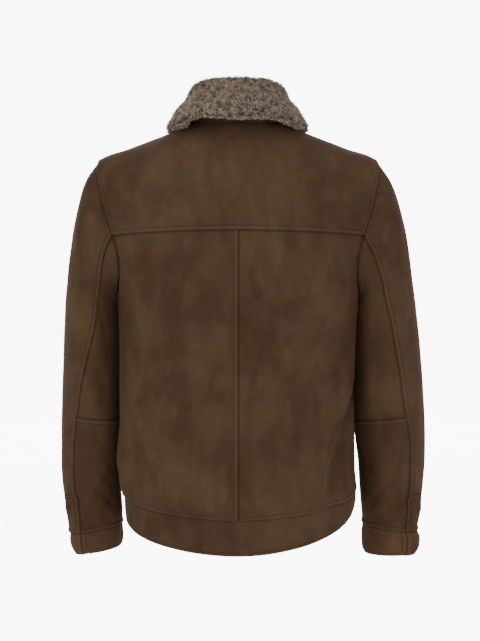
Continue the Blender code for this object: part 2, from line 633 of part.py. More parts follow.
# ---------------------------------------------------------------------------- buttons
def build_button(name, point, normal, collection):
    """A button turned from its profile, lying on a surface."""
    radius, height = BUTTON_RADIUS, BUTTON_THICKNESS
    profile = ((0.0, 0.72 * height), (0.52 * radius, 0.72 * height), (0.70 * radius, height),
               (0.90 * radius, 0.95 * height), (radius, 0.60 * height), (0.92 * radius, 0.0),
               (0.0, 0.0))
    outline = bmesh.new()
    points = [outline.verts.new((x, 0.0, z)) for x, z in profile]
    for first, second in zip(points, points[1:]):
        outline.edges.new((first, second))
    mesh = bpy.data.meshes.new(name)
    outline.to_mesh(mesh)
    outline.free()
    item = new_object(name, mesh, "horn", collection)
    turned = item.modifiers.new("turned", "SCREW")
    turned.steps = turned.render_steps = BUTTON_SIDES
    turned.use_merge_vertices = True
    turned.merge_threshold = 0.00001
    turned.use_smooth_shade = True
    turn = Vector((0.0, 0.0, 1.0)).rotation_difference(Vector(normal)).to_matrix().to_4x4()
    item.matrix_world = Matrix.Translation(Vector(point)) @ turn


def build_buttons(collection):
    """The buttons down the front and on the waistband."""
    seat = 2 * GAP
    for number, drop in enumerate(BUTTON_DROPS, start=1):
        point, normal = torso(180.0, drop, out=STRIP_WALL + GAP + seat)
        build_button(f"button_front_{number}", point, normal, collection)
    point, normal = torso(180.0, (BAND_DROP + HEM_DROP) / 2, out=seat)
    build_button("button_waistband", point, normal, collection)


def main():
    """Clear the scene and build the jacket in a collection of its own."""
    for item in list(bpy.data.objects):
        bpy.data.objects.remove(item, do_unlink=True)
    collection = bpy.data.collections.new("suede_jacket")
    bpy.context.scene.collection.children.link(collection)
    build_yoke(collection)
    build_front_strip(collection)
    build_waistband(collection)
    build_collar(collection)
    for side in (LEFT, RIGHT):
        build_back(side, collection)
        build_front(side, collection)
        build_sleeve(side, collection)
        build_vent(side, collection)
        build_cuff(side, collection)
    build_buttons(collection)


main()
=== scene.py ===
"""The looks of a dark brown suede jacket with a turned-down shearling collar.

Metres, +Z up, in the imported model's own frame: the middle of the neck opening is the origin,
the back faces +Y and the wearer's left is +X. The jacket hangs in the hollow form that a
wearer gives it. Each panel of cloth is a thin shell on the form of its solid, with its seams'
laps, stitches and creases, and the collar carries a pile of curls.
"""
from __future__ import annotations

import logging
import math
from dataclasses import dataclass, field
from enum import Enum

import bmesh
import bpy
import numpy as np
from mathutils import Matrix, Vector
from mathutils.bvhtree import BVHTree

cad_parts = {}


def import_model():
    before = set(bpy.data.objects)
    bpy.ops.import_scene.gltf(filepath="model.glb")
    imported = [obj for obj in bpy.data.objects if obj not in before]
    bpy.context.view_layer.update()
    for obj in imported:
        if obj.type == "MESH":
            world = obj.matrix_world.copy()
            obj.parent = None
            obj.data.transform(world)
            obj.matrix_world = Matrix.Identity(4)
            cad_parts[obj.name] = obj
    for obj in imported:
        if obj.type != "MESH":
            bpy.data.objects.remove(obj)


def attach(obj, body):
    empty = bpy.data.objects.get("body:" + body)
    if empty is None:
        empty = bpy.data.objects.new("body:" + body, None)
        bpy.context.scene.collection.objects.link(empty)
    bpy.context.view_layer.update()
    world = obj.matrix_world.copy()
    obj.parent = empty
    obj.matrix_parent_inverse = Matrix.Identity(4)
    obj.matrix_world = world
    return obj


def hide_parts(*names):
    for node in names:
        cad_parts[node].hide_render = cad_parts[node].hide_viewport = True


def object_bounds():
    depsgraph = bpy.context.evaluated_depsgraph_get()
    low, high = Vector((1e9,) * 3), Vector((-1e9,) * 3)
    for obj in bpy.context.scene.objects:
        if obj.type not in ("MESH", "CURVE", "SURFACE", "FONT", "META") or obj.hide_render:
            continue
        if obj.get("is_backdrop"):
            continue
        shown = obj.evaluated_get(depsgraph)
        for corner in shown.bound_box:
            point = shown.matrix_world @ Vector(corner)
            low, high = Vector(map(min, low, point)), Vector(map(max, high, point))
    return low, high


LOG = logging.getLogger("jacket")
FRAME_SIZE = (480, 641)      # the photograph's own frame, in pixels
BODY = "root"                # the one rigid body that every piece rides on


class Side(Enum):
    """The wearer's two sides, as signs of X."""

    LEFT = 1
    RIGHT = -1

    @property
    def label(self) -> str:
        """The side's name as the pieces carry it."""
        return self.name.lower()


class Edge(Enum):
    """The four edges of a panel's grid of points."""

    FIRST_ROW = "first row"
    LAST_ROW = "last row"
    FIRST_COLUMN = "first column"
    LAST_COLUMN = "last column"


# ------------------------------------------------------------------------------ numbers
def ramp(value: np.ndarray, start: float, end: float) -> np.ndarray:
    """Rise smoothly from 0 at start to 1 at end.

    Args:
        value: The places to read.
        start: Where the rise begins.
        end: Where it is whole.

    Returns:
        The height at each place.
    """
    t = np.clip((np.asarray(value, dtype=float) - start) / (end - start), 0.0, 1.0)
    return t * t * (3 - 2 * t)


def unit(vectors: np.ndarray) -> np.ndarray:
    """Scale vectors to a length of one."""
    return vectors / np.linalg.norm(vectors, axis=-1, keepdims=True)


def ripple(points: np.ndarray, size: float, seed: int) -> np.ndarray:
    """Smooth noise from -1 to 1 whose lumps are about a given size.

    Args:
        points: Places in space, the last axis being X, Y and Z.
        size: Spacing of the lumps in metres.
        seed: Number that fixes the pattern.

    Returns:
        The noise at each place.
    """
    cell = points / size + 41.7
    low = np.floor(cell).astype(np.int64)
    part = cell - low
    part = part * part * (3 - 2 * part)
    total = np.zeros(points.shape[:-1])
    for corner in range(8):
        step = np.array((corner & 1, (corner >> 1) & 1, corner >> 2))
        at = low + step
        key = at[..., 0] * 73856093 ^ at[..., 1] * 19349663 ^ at[..., 2] * 83492791
        key = (key ^ seed * 2654435761) & 0xFFFFFFFF
        key = (key ^ (key >> 15)) * 2246822519 & 0xFFFFFFFF
        key = (key ^ (key >> 13)) * 3266489917 & 0xFFFFFFFF
        value = ((key ^ (key >> 16)) & 0xFFFF) / 32767.5 - 1.0
        weight = np.prod(np.where(step == 1, part, 1 - part), axis=-1)
        total += value * weight
    return total


def spaced(length: float, pitch: float) -> np.ndarray:
    """Shares from 0 to 1 along a length, closer together near both ends."""
    near = np.array((0.0, 0.0008, 0.0018, 0.0032, 0.0047, 0.0062, 0.0078, 0.0098, 0.0125))
    count = max(int((length - 2 * near[-1]) / pitch), 2)
    middle = np.linspace(near[-1], length - near[-1], count + 1)[1:-1]
    return np.concatenate((near, middle, length - near[::-1])) / length


def grid_quads(rows: int, columns: int) -> np.ndarray:
    """The four corners of every cell in a grid of points, by their numbers."""
    index = np.arange(rows * columns).reshape(rows, columns)
    return np.stack((index[:-1, :-1], index[:-1, 1:], index[1:, 1:], index[1:, :-1]),
                    axis=-1).reshape(-1, 4)


def turned_inward(points: np.ndarray, normals: np.ndarray) -> bool:
    """Whether the cells of a grid of points face against its normals."""
    across = points[:-1, 1:] - points[:-1, :-1]
    down = points[1:, :-1] - points[:-1, :-1]
    facing = np.einsum("ijk,ijk->ij", np.cross(across, down), normals[:-1, :-1])
    return bool(facing.sum() < 0)


def placed(name: str, data: bpy.types.ID) -> bpy.types.Object:
    """A new object in the scene."""
    item = bpy.data.objects.new(name, data)
    bpy.context.scene.collection.objects.link(item)
    return item


@dataclass(frozen=True)
class Columns:
    """A short table of sizes, read on a smooth curve through its rows."""

    names: str
    rows: tuple

    def column(self, name: str) -> np.ndarray:
        """One column of the table."""
        return np.array(self.rows, dtype=float)[:, self.names.split().index(name)]

    def read(self, name: str, at: np.ndarray) -> np.ndarray:
        """Read a column between its rows, straight on past its ends.

        Args:
            name: The column.
            at: Places along the first column.

        Returns:
            The value at each place.
        """
        places, values = self.column(self.names.split()[0]), self.column(name)
        slopes = np.gradient(values, places)
        at = np.asarray(at, dtype=float)
        low = np.clip(np.searchsorted(places, at, side="right") - 1, 0, len(places) - 2)
        span = places[low + 1] - places[low]
        full = (at - places[low]) / span
        t = np.clip(full, 0.0, 1.0)
        value = ((1 + 2 * t) * (1 - t) ** 2 * values[low]
                 + t * (1 - t) ** 2 * span * slopes[low]
                 + t * t * (3 - 2 * t) * values[low + 1]
                 - t * t * (1 - t) * span * slopes[low + 1])
        end_slope = np.where(full < 0, slopes[low], slopes[low + 1])
        return value + (full - t) * span * end_slope


@dataclass(frozen=True)
class Folds:
    """Soft ridges and troughs, listed one by one: where each one starts and ends on a surface.
    """

    rows: tuple                       # across, along, to across, to along, width, height
    metres: float = 0.0030            # length of one degree across the surface

    def height(self, across: np.ndarray, along: np.ndarray) -> np.ndarray:
        """Add up the folds.

        Args:
            across: Angles round the surface, in degrees.
            along: Distances down it, in metres.

        Returns:
            How far the folds lift the surface at each place.
        """
        total = np.zeros(np.broadcast(across, along).shape)
        for start_across, start, end_across, end, width, height in self.rows:
            way = np.array(((end_across - start_across) * self.metres, end - start))
            length = np.linalg.norm(way)
            way /= length
            east = (across - start_across) * self.metres
            north = along - start
            on = (east * way[0] + north * way[1]) / length
            off = east * way[1] - north * way[0]
            bend = off - 0.12 * length * np.sin(np.pi * np.clip(on, 0, 1))
            taper = ramp(on, -0.15, 0.35) * (1 - ramp(on, 0.75, 1.2))
            total = total + height * taper * np.exp(-(bend / width) ** 2)
        return total


# ------------------------------------------------------------------------------- forms
@dataclass(frozen=True)
class BodyForm:
    """The torso's outer face, by an angle from the centre back and a drop from the neck."""

    rings: Columns = Columns(
        "drop left right middle back front z_back z_left z_right z_front square",
        ((0.000, 0.0725, 0.0725, 0.014, 0.062, 0.058, -0.004, -0.005, -0.005, -0.088, 2.00),
         (0.030, 0.124, 0.124, 0.012, 0.082, 0.074, -0.032, -0.0245, -0.0245, -0.112, 2.00),
         (0.062, 0.180, 0.180, 0.006, 0.102, 0.088, -0.065, -0.045, -0.045, -0.143, 2.05),
         (0.098, 0.234, 0.234, 0.000, 0.120, 0.103, -0.104, -0.067, -0.067, -0.182, 2.10),
         (0.135, 0.242, 0.242, 0.000, 0.129, 0.114, -0.142, -0.126, -0.126, -0.215, 2.15),
         (0.178, 0.231, 0.231, 0.000, 0.135, 0.121, -0.182, -0.193, -0.193, -0.245, 2.20),
         (0.230, 0.214, 0.214, 0.000, 0.138, 0.125, -0.232, -0.247, -0.247, -0.275, 2.30),
         (0.290, 0.2040, 0.2040, 0.000, 0.137, 0.127, -0.290, -0.302, -0.302, -0.312, 2.40),
         (0.350, 0.2005, 0.1990, 0.000, 0.134, 0.127, -0.350, -0.358, -0.358, -0.364, 2.45),
         (0.440, 0.2005, 0.1970, 0.000, 0.126, 0.125, -0.442, -0.440, -0.440, -0.442, 2.50),
         (0.540, 0.2005, 0.1970, 0.000, 0.121, 0.124, -0.545, -0.530, -0.530, -0.532, 2.55),
         (0.608, 0.2005, 0.1985, 0.000, 0.124, 0.127, -0.612, -0.590, -0.590, -0.594, 2.60),
         (0.638, 0.2005, 0.2005, 0.000, 0.125, 0.128, -0.641, -0.612, -0.610, -0.619, 2.65),
         (0.655, 0.1955, 0.2000, 0.000, 0.119, 0.122, -0.654, -0.623, -0.620, -0.631, 2.70),
         (0.685, 0.1930, 0.1985, 0.000, 0.117, 0.120, -0.684, -0.650, -0.645, -0.660, 2.70),
         (0.715, 0.1900, 0.1905, 0.000, 0.116, 0.118, -0.715, -0.678, -0.667, -0.690, 2.60)))
    folds: Folds = Folds((
        (-74, 0.460, -40, 0.642, 0.024, 0.009),
        (-66, 0.560, -62, 0.640, 0.020, -0.007),
        (76, 0.520, 54, 0.640, 0.022, 0.006),
        (20, 0.560, 28, 0.640, 0.020, 0.004),
        (-14, 0.590, -22, 0.642, 0.016, -0.003),
        (58, 0.300, 40, 0.430, 0.030, -0.004),
        (-58, 0.300, -38, 0.450, 0.030, -0.005),
        (108, 0.330, 146, 0.520, 0.028, 0.006),
        (-106, 0.320, -142, 0.500, 0.028, 0.006),
        (122, 0.520, 134, 0.640, 0.022, 0.007),
        (-128, 0.540, -120, 0.642, 0.022, 0.006),
        (-152, 0.560, -148, 0.640, 0.018, -0.004),
        (154, 0.540, 158, 0.640, 0.018, -0.004)))
    creases: Folds = Folds((
        (-86, 0.430, -43, 0.656, 0.019, -0.0185),
        (-76, 0.420, -36, 0.642, 0.007, 0.0068),
        (-40, 0.585, -26, 0.652, 0.009, 0.0026),
        (-50, 0.600, -38, 0.655, 0.008, -0.0022),
        (-70, 0.250, -52, 0.330, 0.014, -0.0016),
        (72, 0.240, 56, 0.330, 0.014, -0.0018),
        (60, 0.330, 34, 0.400, 0.016, -0.0010),
        (70, 0.590, 50, 0.628, 0.010, -0.0018),
        (84, 0.545, 60, 0.600, 0.010, 0.0014),
        (30, 0.600, 44, 0.646, 0.008, -0.0012),
        (-26, 0.610, -20, 0.650, 0.008, -0.0012),
        (8, 0.200, 26, 0.260, 0.020, 0.0009),
        (-48, 0.060, -70, 0.120, 0.018, -0.0012),
        (50, 0.070, 72, 0.130, 0.016, -0.0010),
        (112, 0.300, 140, 0.360, 0.014, -0.0022),
        (-108, 0.290, -136, 0.360, 0.014, -0.0020),
        (118, 0.400, 150, 0.500, 0.018, -0.0016),
        (-120, 0.430, -148, 0.530, 0.018, -0.0018),
        (104, 0.580, 120, 0.640, 0.010, -0.0020),
        (-110, 0.590, -126, 0.640, 0.010, -0.0018)))
    yoke_drop: float = 0.178
    underarm_drop: float = 0.290
    tip_drop: float = 0.098
    band_drop: float = 0.655
    hem_drop: float = 0.715
    side_angle: float = 90.0
    back_cut: float = 30.0
    front_cut: float = 34.0
    shoulder_turn: float = 200.0
    shoulder_neck_angle: float = 96.0
    band_middle_drop: float = 0.685
    underlap_depth: float = 0.0039    # how far the right front dips under the left
    underlap_start: float = 0.042     # where the dip starts, from the centre front
    underlap_end: float = 0.026       # where it is whole

    @property
    def armhole_span(self) -> tuple[float, float]:
        """Drop of the armhole's middle, and half its height."""
        return ((self.underarm_drop + self.tip_drop) / 2,
                (self.underarm_drop - self.tip_drop) / 2)

    def base(self, angle: np.ndarray, drop: np.ndarray) -> np.ndarray:
        """Point of the torso without folds."""
        turn = np.radians(angle)
        sine, cosine = np.sin(turn), np.cos(turn)
        square = self.rings.read("square", drop)
        reach = (np.abs(sine) ** square + np.abs(cosine) ** square) ** (-1 / square)

        def either(test: np.ndarray, first: str, second: str) -> np.ndarray:
            """One column of the rings where the test holds, and another elsewhere."""
            return np.where(test, self.rings.read(first, drop), self.rings.read(second, drop))

        half_width = either(sine > 0, "left", "right")
        z_side = either(sine > 0, "z_left", "z_right")
        depth = either(cosine > 0, "back", "front")
        z_middle = either(cosine > 0, "z_back", "z_front")
        x = half_width * reach * sine
        y = self.rings.read("middle", drop) + depth * reach * cosine
        z = z_side + (z_middle - z_side) * cosine ** 2
        return np.stack(np.broadcast_arrays(x, y, z), axis=-1)

    def normal(self, angle: np.ndarray, drop: np.ndarray) -> np.ndarray:
        """Outward normal of the torso without folds."""
        around = self.base(angle + 0.5, drop) - self.base(angle - 0.5, drop)
        down = self.base(angle, drop + 0.002) - self.base(angle, np.maximum(drop - 0.002, 0.0))
        return unit(np.cross(around, down))

    def surface(self, angle: np.ndarray, drop: np.ndarray,
                out: np.ndarray | float = 0.0) -> tuple[np.ndarray, np.ndarray]:
        """Points of the outer face with its folds.

        Args:
            angle: Angles round from the centre back, in degrees.
            drop: Drops down from the neck seam, in metres.
            out: How far to move the points out.

        Returns:
            The points and the normals there.
        """
        angle, drop = np.broadcast_arrays(np.asarray(angle, float), np.asarray(drop, float))
        normal = self.normal(angle, drop)
        folds = self.folds.height(angle, drop) + self.creases.height(angle, drop)
        near_band = ramp(drop, 0.55, 0.66) * (1 - ramp(drop, 0.655, 0.70))
        gather = ripple(np.stack((angle * 0.003, drop * 0.25, 0 * drop), -1), 0.017, 5)
        rise = folds + out + 0.0011 * near_band * gather
        return self.base(angle, drop) + normal * rise[..., None], normal

    def armhole(self, turn: np.ndarray) -> tuple[np.ndarray, np.ndarray]:
        """Angle and drop of the armhole: 0 at the underarm, up the back and down the front."""
        t = np.radians(turn)
        middle, half = self.armhole_span
        cut = np.where(np.sin(t) > 0, self.back_cut, self.front_cut)
        return self.side_angle - cut * np.sin(t), middle + half * np.cos(t)

    @property
    def yoke_turn(self) -> float:
        """Turn round the armhole where the yoke seam meets it."""
        middle, half = self.armhole_span
        return math.degrees(math.acos((self.yoke_drop - middle) / half))

    def shoulder_angle(self, drop: np.ndarray) -> np.ndarray:
        """Angle of the shoulder seam between the neck and the armhole."""
        tip_angle, tip_drop = self.armhole(self.shoulder_turn)
        return (self.shoulder_neck_angle
                + (tip_angle - self.shoulder_neck_angle) * drop / tip_drop)

    def angle_at(self, x: float, drop: np.ndarray) -> np.ndarray:
        """Angle round to the front where the torso is x to one side of the middle."""
        return 180 - np.degrees(np.arcsin(x / self.rings.read("left", drop)))

    def underlap(self, angle: np.ndarray, drop: np.ndarray) -> np.ndarray:
        """How far the right front dips in near its edge, to pass under the left front."""
        reach = self.rings.read("left", drop) * np.sin(np.radians(np.abs(angle)))
        dip = 1 - ramp(reach, self.underlap_end, self.underlap_start)
        return -self.underlap_depth * dip * (angle < -self.side_angle)


SLEEVE_RINGS = {
    Side.LEFT: ((0.000, 0.2190, 0.000, -0.1850, 0.1190, 0.072, 82, 100, -88),
                (0.030, 0.2298, 0.000, -0.2000, 0.1082, 0.077, 76, 104, -92),
                (0.060, 0.2358, 0.000, -0.2220, 0.0902, 0.079, 68, 108, -96),
                (0.100, 0.2418, -0.002, -0.2550, 0.0677, 0.079, 55, 112, -99),
                (0.140, 0.2455, -0.004, -0.2925, 0.0567, 0.077, 41, 110, -102),
                (0.190, 0.2481, -0.006, -0.3385, 0.0512, 0.074, 27, 104, -104),
                (0.250, 0.2500, -0.010, -0.4000, 0.0497, 0.071, 18, 88, -106),
                (0.330, 0.2520, -0.015, -0.4780, 0.0500, 0.067, 9, 71, -108),
                (0.400, 0.2533, -0.022, -0.5480, 0.0507, 0.063, 4, 64, -110),
                (0.470, 0.2538, -0.031, -0.6180, 0.0498, 0.058, 0, 62, -112),
                (0.520, 0.2484, -0.038, -0.6680, 0.0478, 0.053, -6, 62, -114),
                (0.548, 0.2472, -0.041, -0.6960, 0.0470, 0.048, -10, 62, -114),
                (0.560, 0.2471, -0.042, -0.7080, 0.0472, 0.046, -10, 62, -114),
                (0.592, 0.2440, -0.043, -0.7355, 0.0450, 0.044, -9, 62, -114)),
    Side.RIGHT: ((0.000, 0.2190, 0.000, -0.1850, 0.1190, 0.072, 82, 100, -88),
                 (0.030, 0.2303, 0.000, -0.2000, 0.1075, 0.077, 76, 103, -92),
                 (0.060, 0.2381, 0.000, -0.2220, 0.0907, 0.079, 68, 104, -96),
                 (0.100, 0.2453, -0.002, -0.2550, 0.0697, 0.079, 55, 102, -99),
                 (0.140, 0.2493, -0.004, -0.2925, 0.0590, 0.077, 41, 98, -102),
                 (0.190, 0.2533, -0.006, -0.3385, 0.0545, 0.074, 27, 90, -104),
                 (0.250, 0.2573, -0.010, -0.4000, 0.0555, 0.071, 16, 82, -106),
                 (0.330, 0.2610, -0.015, -0.4780, 0.0575, 0.067, 8, 72, -108),
                 (0.400, 0.2638, -0.022, -0.5480, 0.0580, 0.063, 4, 63, -110),
                 (0.470, 0.2650, -0.031, -0.6180, 0.0550, 0.058, 0, 62, -112),
                 (0.520, 0.2645, -0.038, -0.6680, 0.0504, 0.053, -4, 62, -114),
                 (0.548, 0.2640, -0.041, -0.6940, 0.0485, 0.048, -7, 62, -114),
                 (0.560, 0.2655, -0.042, -0.7060, 0.0507, 0.046, -5, 62, -114),
                 (0.592, 0.2650, -0.043, -0.7410, 0.0497, 0.044, 0, 62, -114)),
}


@dataclass(frozen=True)
class SleeveForm:
    """A sleeve's outer face, by a column round from the underarm and a run from the armhole."""

    side: Side
    body: BodyForm
    folds: Folds = Folds((
        (-30, 0.290, -110, 0.350, 0.018, -0.006),
        (-120, 0.270, -60, 0.300, 0.016, 0.004),
        (-150, 0.330, -90, 0.400, 0.018, 0.004),
        (60, 0.440, 20, 0.500, 0.020, 0.003),
        (150, 0.470, 110, 0.520, 0.014, -0.003),
        (80, 0.240, 130, 0.300, 0.022, -0.003)))
    creases: Folds = Folds((
        (30, 0.300, 96, 0.335, 0.010, -0.0016),
        (20, 0.372, 110, 0.352, 0.012, -0.0018),
        (60, 0.400, 128, 0.432, 0.012, 0.0014),
        (-20, 0.320, -100, 0.372, 0.010, -0.0020),
        (-60, 0.372, -126, 0.396, 0.010, -0.0018),
        (40, 0.500, 100, 0.535, 0.009, -0.0026),
        (74, 0.478, 140, 0.512, 0.009, -0.0022),
        (92, 0.520, 146, 0.530, 0.008, 0.0018),
        (98, 0.398, 142, 0.408, 0.006, -0.0016),
        (100, 0.430, 144, 0.440, 0.006, -0.0016),
        (96, 0.455, 140, 0.470, 0.006, -0.0014),
        (-30, 0.470, -90, 0.520, 0.010, -0.0024),
        (-70, 0.500, -130, 0.530, 0.009, -0.0020),
        (10, 0.515, 60, 0.540, 0.008, 0.0016),
        (96, 0.120, 130, 0.200, 0.014, -0.0014),
        (-70, 0.110, -110, 0.180, 0.014, -0.0016),
        (4, 0.070, 40, 0.110, 0.016, -0.0010)))
    back_steps: int = 8
    yoke_steps: int = 7
    front_steps: int = 13
    top_steps: int = 13
    cap_run: float = 0.100
    clearance: float = 0.0014
    seam_inset: float = 0.00036       # where the sleeve starts, into the armhole
    seam_lift: float = 0.00015        # and out from the torso

    @property
    def contact(self) -> float:
        """How far the sleeve's cloth swells towards the body, where the two touch."""
        return 0.0064 if self.side is Side.RIGHT else 0.0005

    @property
    def steps(self) -> int:
        """Columns all round the sleeve."""
        return self.back_steps + self.yoke_steps + self.front_steps

    @property
    def rings(self) -> Columns:
        """The sleeve's rings."""
        return Columns("run x y z half_width half_depth tilt back_seam front_seam",
                       SLEEVE_RINGS[self.side])

    def ring(self, column: np.ndarray, run: np.ndarray) -> tuple[np.ndarray, np.ndarray]:
        """Point on the sleeve's rings, and its angle round them in degrees."""
        get = {name: self.rings.read(name, run) for name in self.rings.names.split()}
        first, last = self.back_steps, self.back_steps + self.top_steps
        over = (column - first) / (last - first)
        under = np.where(column < first, column + self.steps - last, column - last)
        under = under / (self.steps - last + first)
        on_top = (column >= first) & (column <= last)
        back, front = get["back_seam"], get["front_seam"]
        turn = np.where(on_top, back + (front - back) * over,
                        front - (360 + front - back) * under)
        turn, tilt = np.radians(turn), np.radians(get["tilt"])
        away = get["half_width"] * np.cos(turn)
        x = get["x"] + away * np.cos(tilt)
        y = get["y"] + get["half_depth"] * np.sin(turn)
        z = get["z"] + away * np.sin(tilt)
        return (np.stack(np.broadcast_arrays(self.side.value * x, y, z), axis=-1),
                np.degrees(turn))

    def armhole_frame(self, column: np.ndarray) -> tuple[np.ndarray, np.ndarray, np.ndarray]:
        """Where a column meets the armhole, the torso's normal there, and into the hole."""
        body, sign = self.body, self.side.value
        turns = np.concatenate((
            np.linspace(0, body.yoke_turn, self.back_steps + 1)[:-1],
            np.linspace(body.yoke_turn, body.shoulder_turn, self.yoke_steps + 1)[:-1],
            np.linspace(body.shoulder_turn, 360, self.front_steps + 1)))
        turn = np.interp(column, np.arange(self.steps + 1), turns)
        angle, drop = body.armhole(turn)
        point = body.base(sign * angle, drop)
        normal = body.normal(sign * angle, drop)
        point = point + normal * body.folds.height(sign * angle, drop)[..., None]
        after, before = body.armhole(turn + 2.0), body.armhole(turn - 2.0)
        along = body.base(sign * after[0], after[1]) - body.base(sign * before[0], before[1])
        return point, normal, unit(np.cross(normal, along)) * sign

    def clear_of_body(self, point: np.ndarray, run: np.ndarray) -> np.ndarray:
        """Push points off the body's side, where the sleeve would cut into it."""
        rings = self.body.rings
        drop = np.interp(-point[..., 2], -rings.column("z_left"), rings.column("drop"))
        depth = np.where(point[..., 1] > 0, rings.read("back", drop), rings.read("front", drop))
        square = rings.read("square", drop)
        share = np.clip(np.abs(point[..., 1]) / depth, 0.0, 0.98)
        width = rings.read(self.side.label, drop) * (1 - share ** square) ** (1 / square)
        soft = self.clearance * ramp(run, 0.0, 0.5 * self.cap_run)
        short = width + soft - self.side.value * point[..., 0]
        push = 0.5 * (short + np.sqrt(short ** 2 + soft ** 2))
        return point + push[..., None] * np.array((self.side.value, 0.0, 0.0))

    def smooth(self, column: np.ndarray, run: np.ndarray) -> tuple[np.ndarray, np.ndarray]:
        """Point without folds, drawn in to the armhole's own line at the sleeve's top."""
        point, turn = self.ring(column, run)
        start, _ = self.ring(column, np.zeros_like(run))
        seam, torso_out, into_hole = self.armhole_frame(column)
        seam = seam + into_hole * self.seam_inset + torso_out * self.seam_lift
        fade = np.clip(1 - run / self.cap_run, 0.0, 1.0) ** 2
        return self.clear_of_body(point + (seam - start) * fade[..., None], run), turn

    def surface(self, column: np.ndarray, run: np.ndarray,
                out: np.ndarray | float = 0.0) -> tuple[np.ndarray, np.ndarray]:
        """Points of the outer face with its folds.

        Args:
            column: Columns round from the underarm.
            run: Runs down from the armhole, in metres.
            out: How far to move the points out.

        Returns:
            The points and the normals there.
        """
        column, run = np.broadcast_arrays(np.asarray(column, float), np.asarray(run, float))
        column = column % self.steps
        point, turn = self.smooth(column, run)
        after, before = (column + 0.8) % self.steps, (column - 0.8) % self.steps
        around = self.smooth(after, run)[0] - self.smooth(before, run)[0]
        down = (self.smooth(column, run + 0.012)[0]
                - self.smooth(column, np.maximum(run - 0.012, 0.0))[0])
        normal = unit(np.cross(around, down)) * self.side.value
        _, _, into_hole = self.armhole_frame(column)
        below = ramp(into_hole[..., 2], 0.2, 0.8) * (1 - ramp(run, 0.0, 0.03))
        normal = unit(normal - (below * 2.0)[..., None] * into_hole)
        lean = np.sum(normal * into_hole, axis=-1, keepdims=True)
        fixed = unit(normal - np.maximum(lean, 0.0) * into_hole)
        normal = np.where((run <= 0.0)[..., None], fixed, normal)
        place = (turn + 180) % 360 - 180
        near_body = ramp(np.abs(place), 140, 175)
        rise = self.folds.height(place, run) + 1.6 * self.creases.height(place, run)
        gather = ripple(np.stack((place * 0.0011, run * 0.3, 0 * run), -1), 0.015, 9)
        rise = rise + 0.0019 * gather * ramp(run, 0.49, 0.54) * (run < 0.5481)
        rise = rise * ramp(run, 0.0, self.cap_run) * (1 - near_body) + out
        touch = ramp(np.abs(place), 105, 150) * ramp(run, 0.05, 0.11) * (
            1 - ramp(run, 0.34, 0.44))
        rise = rise + self.contact * touch
        return point + normal * rise[..., None], normal


# ------------------------------------------------------------------------------- seams
@dataclass(frozen=True)
class Seam:
    """How a panel ends at one of its edges."""

    rise: float = 0.0                 # height of the turned band above the panel
    width: float = 0.0070             # width of that band
    roll: float = 0.0006              # how far the edge itself rolls in
    reach: float = 0.0030             # how far from the edge the roll starts
    over: bool = False                # the edge lies over its neighbour
    tuck: float = 0.0012              # hide that goes on under the neighbour
    stitches: tuple[float, ...] = ()  # stitch lines, as distances from the edge


TOP_LAP = Seam(rise=0.0014, roll=0.0006, over=True, stitches=(0.0062,))
DOUBLE_LAP = Seam(rise=0.0012, width=0.0085, roll=0.0006, over=True,
                  stitches=(0.0018, 0.0080))
UNDER = Seam(roll=0.0010, reach=0.0080)
ARMHOLE = Seam(roll=0.0002, reach=0.0060, tuck=0.0030)
SIDE = Seam(roll=0.0004, reach=0.0060, tuck=0.0020)
CUFF_TOP = Seam(roll=0.0012, reach=0.0060, stitches=(0.0052, 0.0082))
TURNED = Seam(rise=0.0004, width=0.0100, roll=0.0018, reach=0.005, over=True, tuck=0.0,
              stitches=(0.0085,))
FOLDED = Seam(roll=0.0038, reach=0.0110, over=True, tuck=0.0)
CUFF_END = Seam(roll=0.0048, reach=0.0150, over=True, tuck=0.0)
FRONT_EDGE = Seam(roll=0.0014, over=True, tuck=0.0)
STRIP_EDGE = Seam(rise=0.0002, roll=0.0008, over=True, tuck=0.0, stitches=(0.0030,))
SEAM_GAP = 0.00015           # how far a cut edge stays off its seam
STITCH_DIP = 0.0009          # how deep a row of stitches pulls the hide in
STITCH_SPREAD = 0.0014       # how far to its sides
PUCKER = 0.00028             # height of the small puckers beside a seam
STRIP_RISE = 0.0023          # how far a strip's face lies above its panel's
STRIP_CUT = {"thickness": 0.0018, "swell": 0.0003}


class Layer(Enum):
    """The two faces of a hide, as material slots."""

    OUTSIDE = 0
    INSIDE = 1


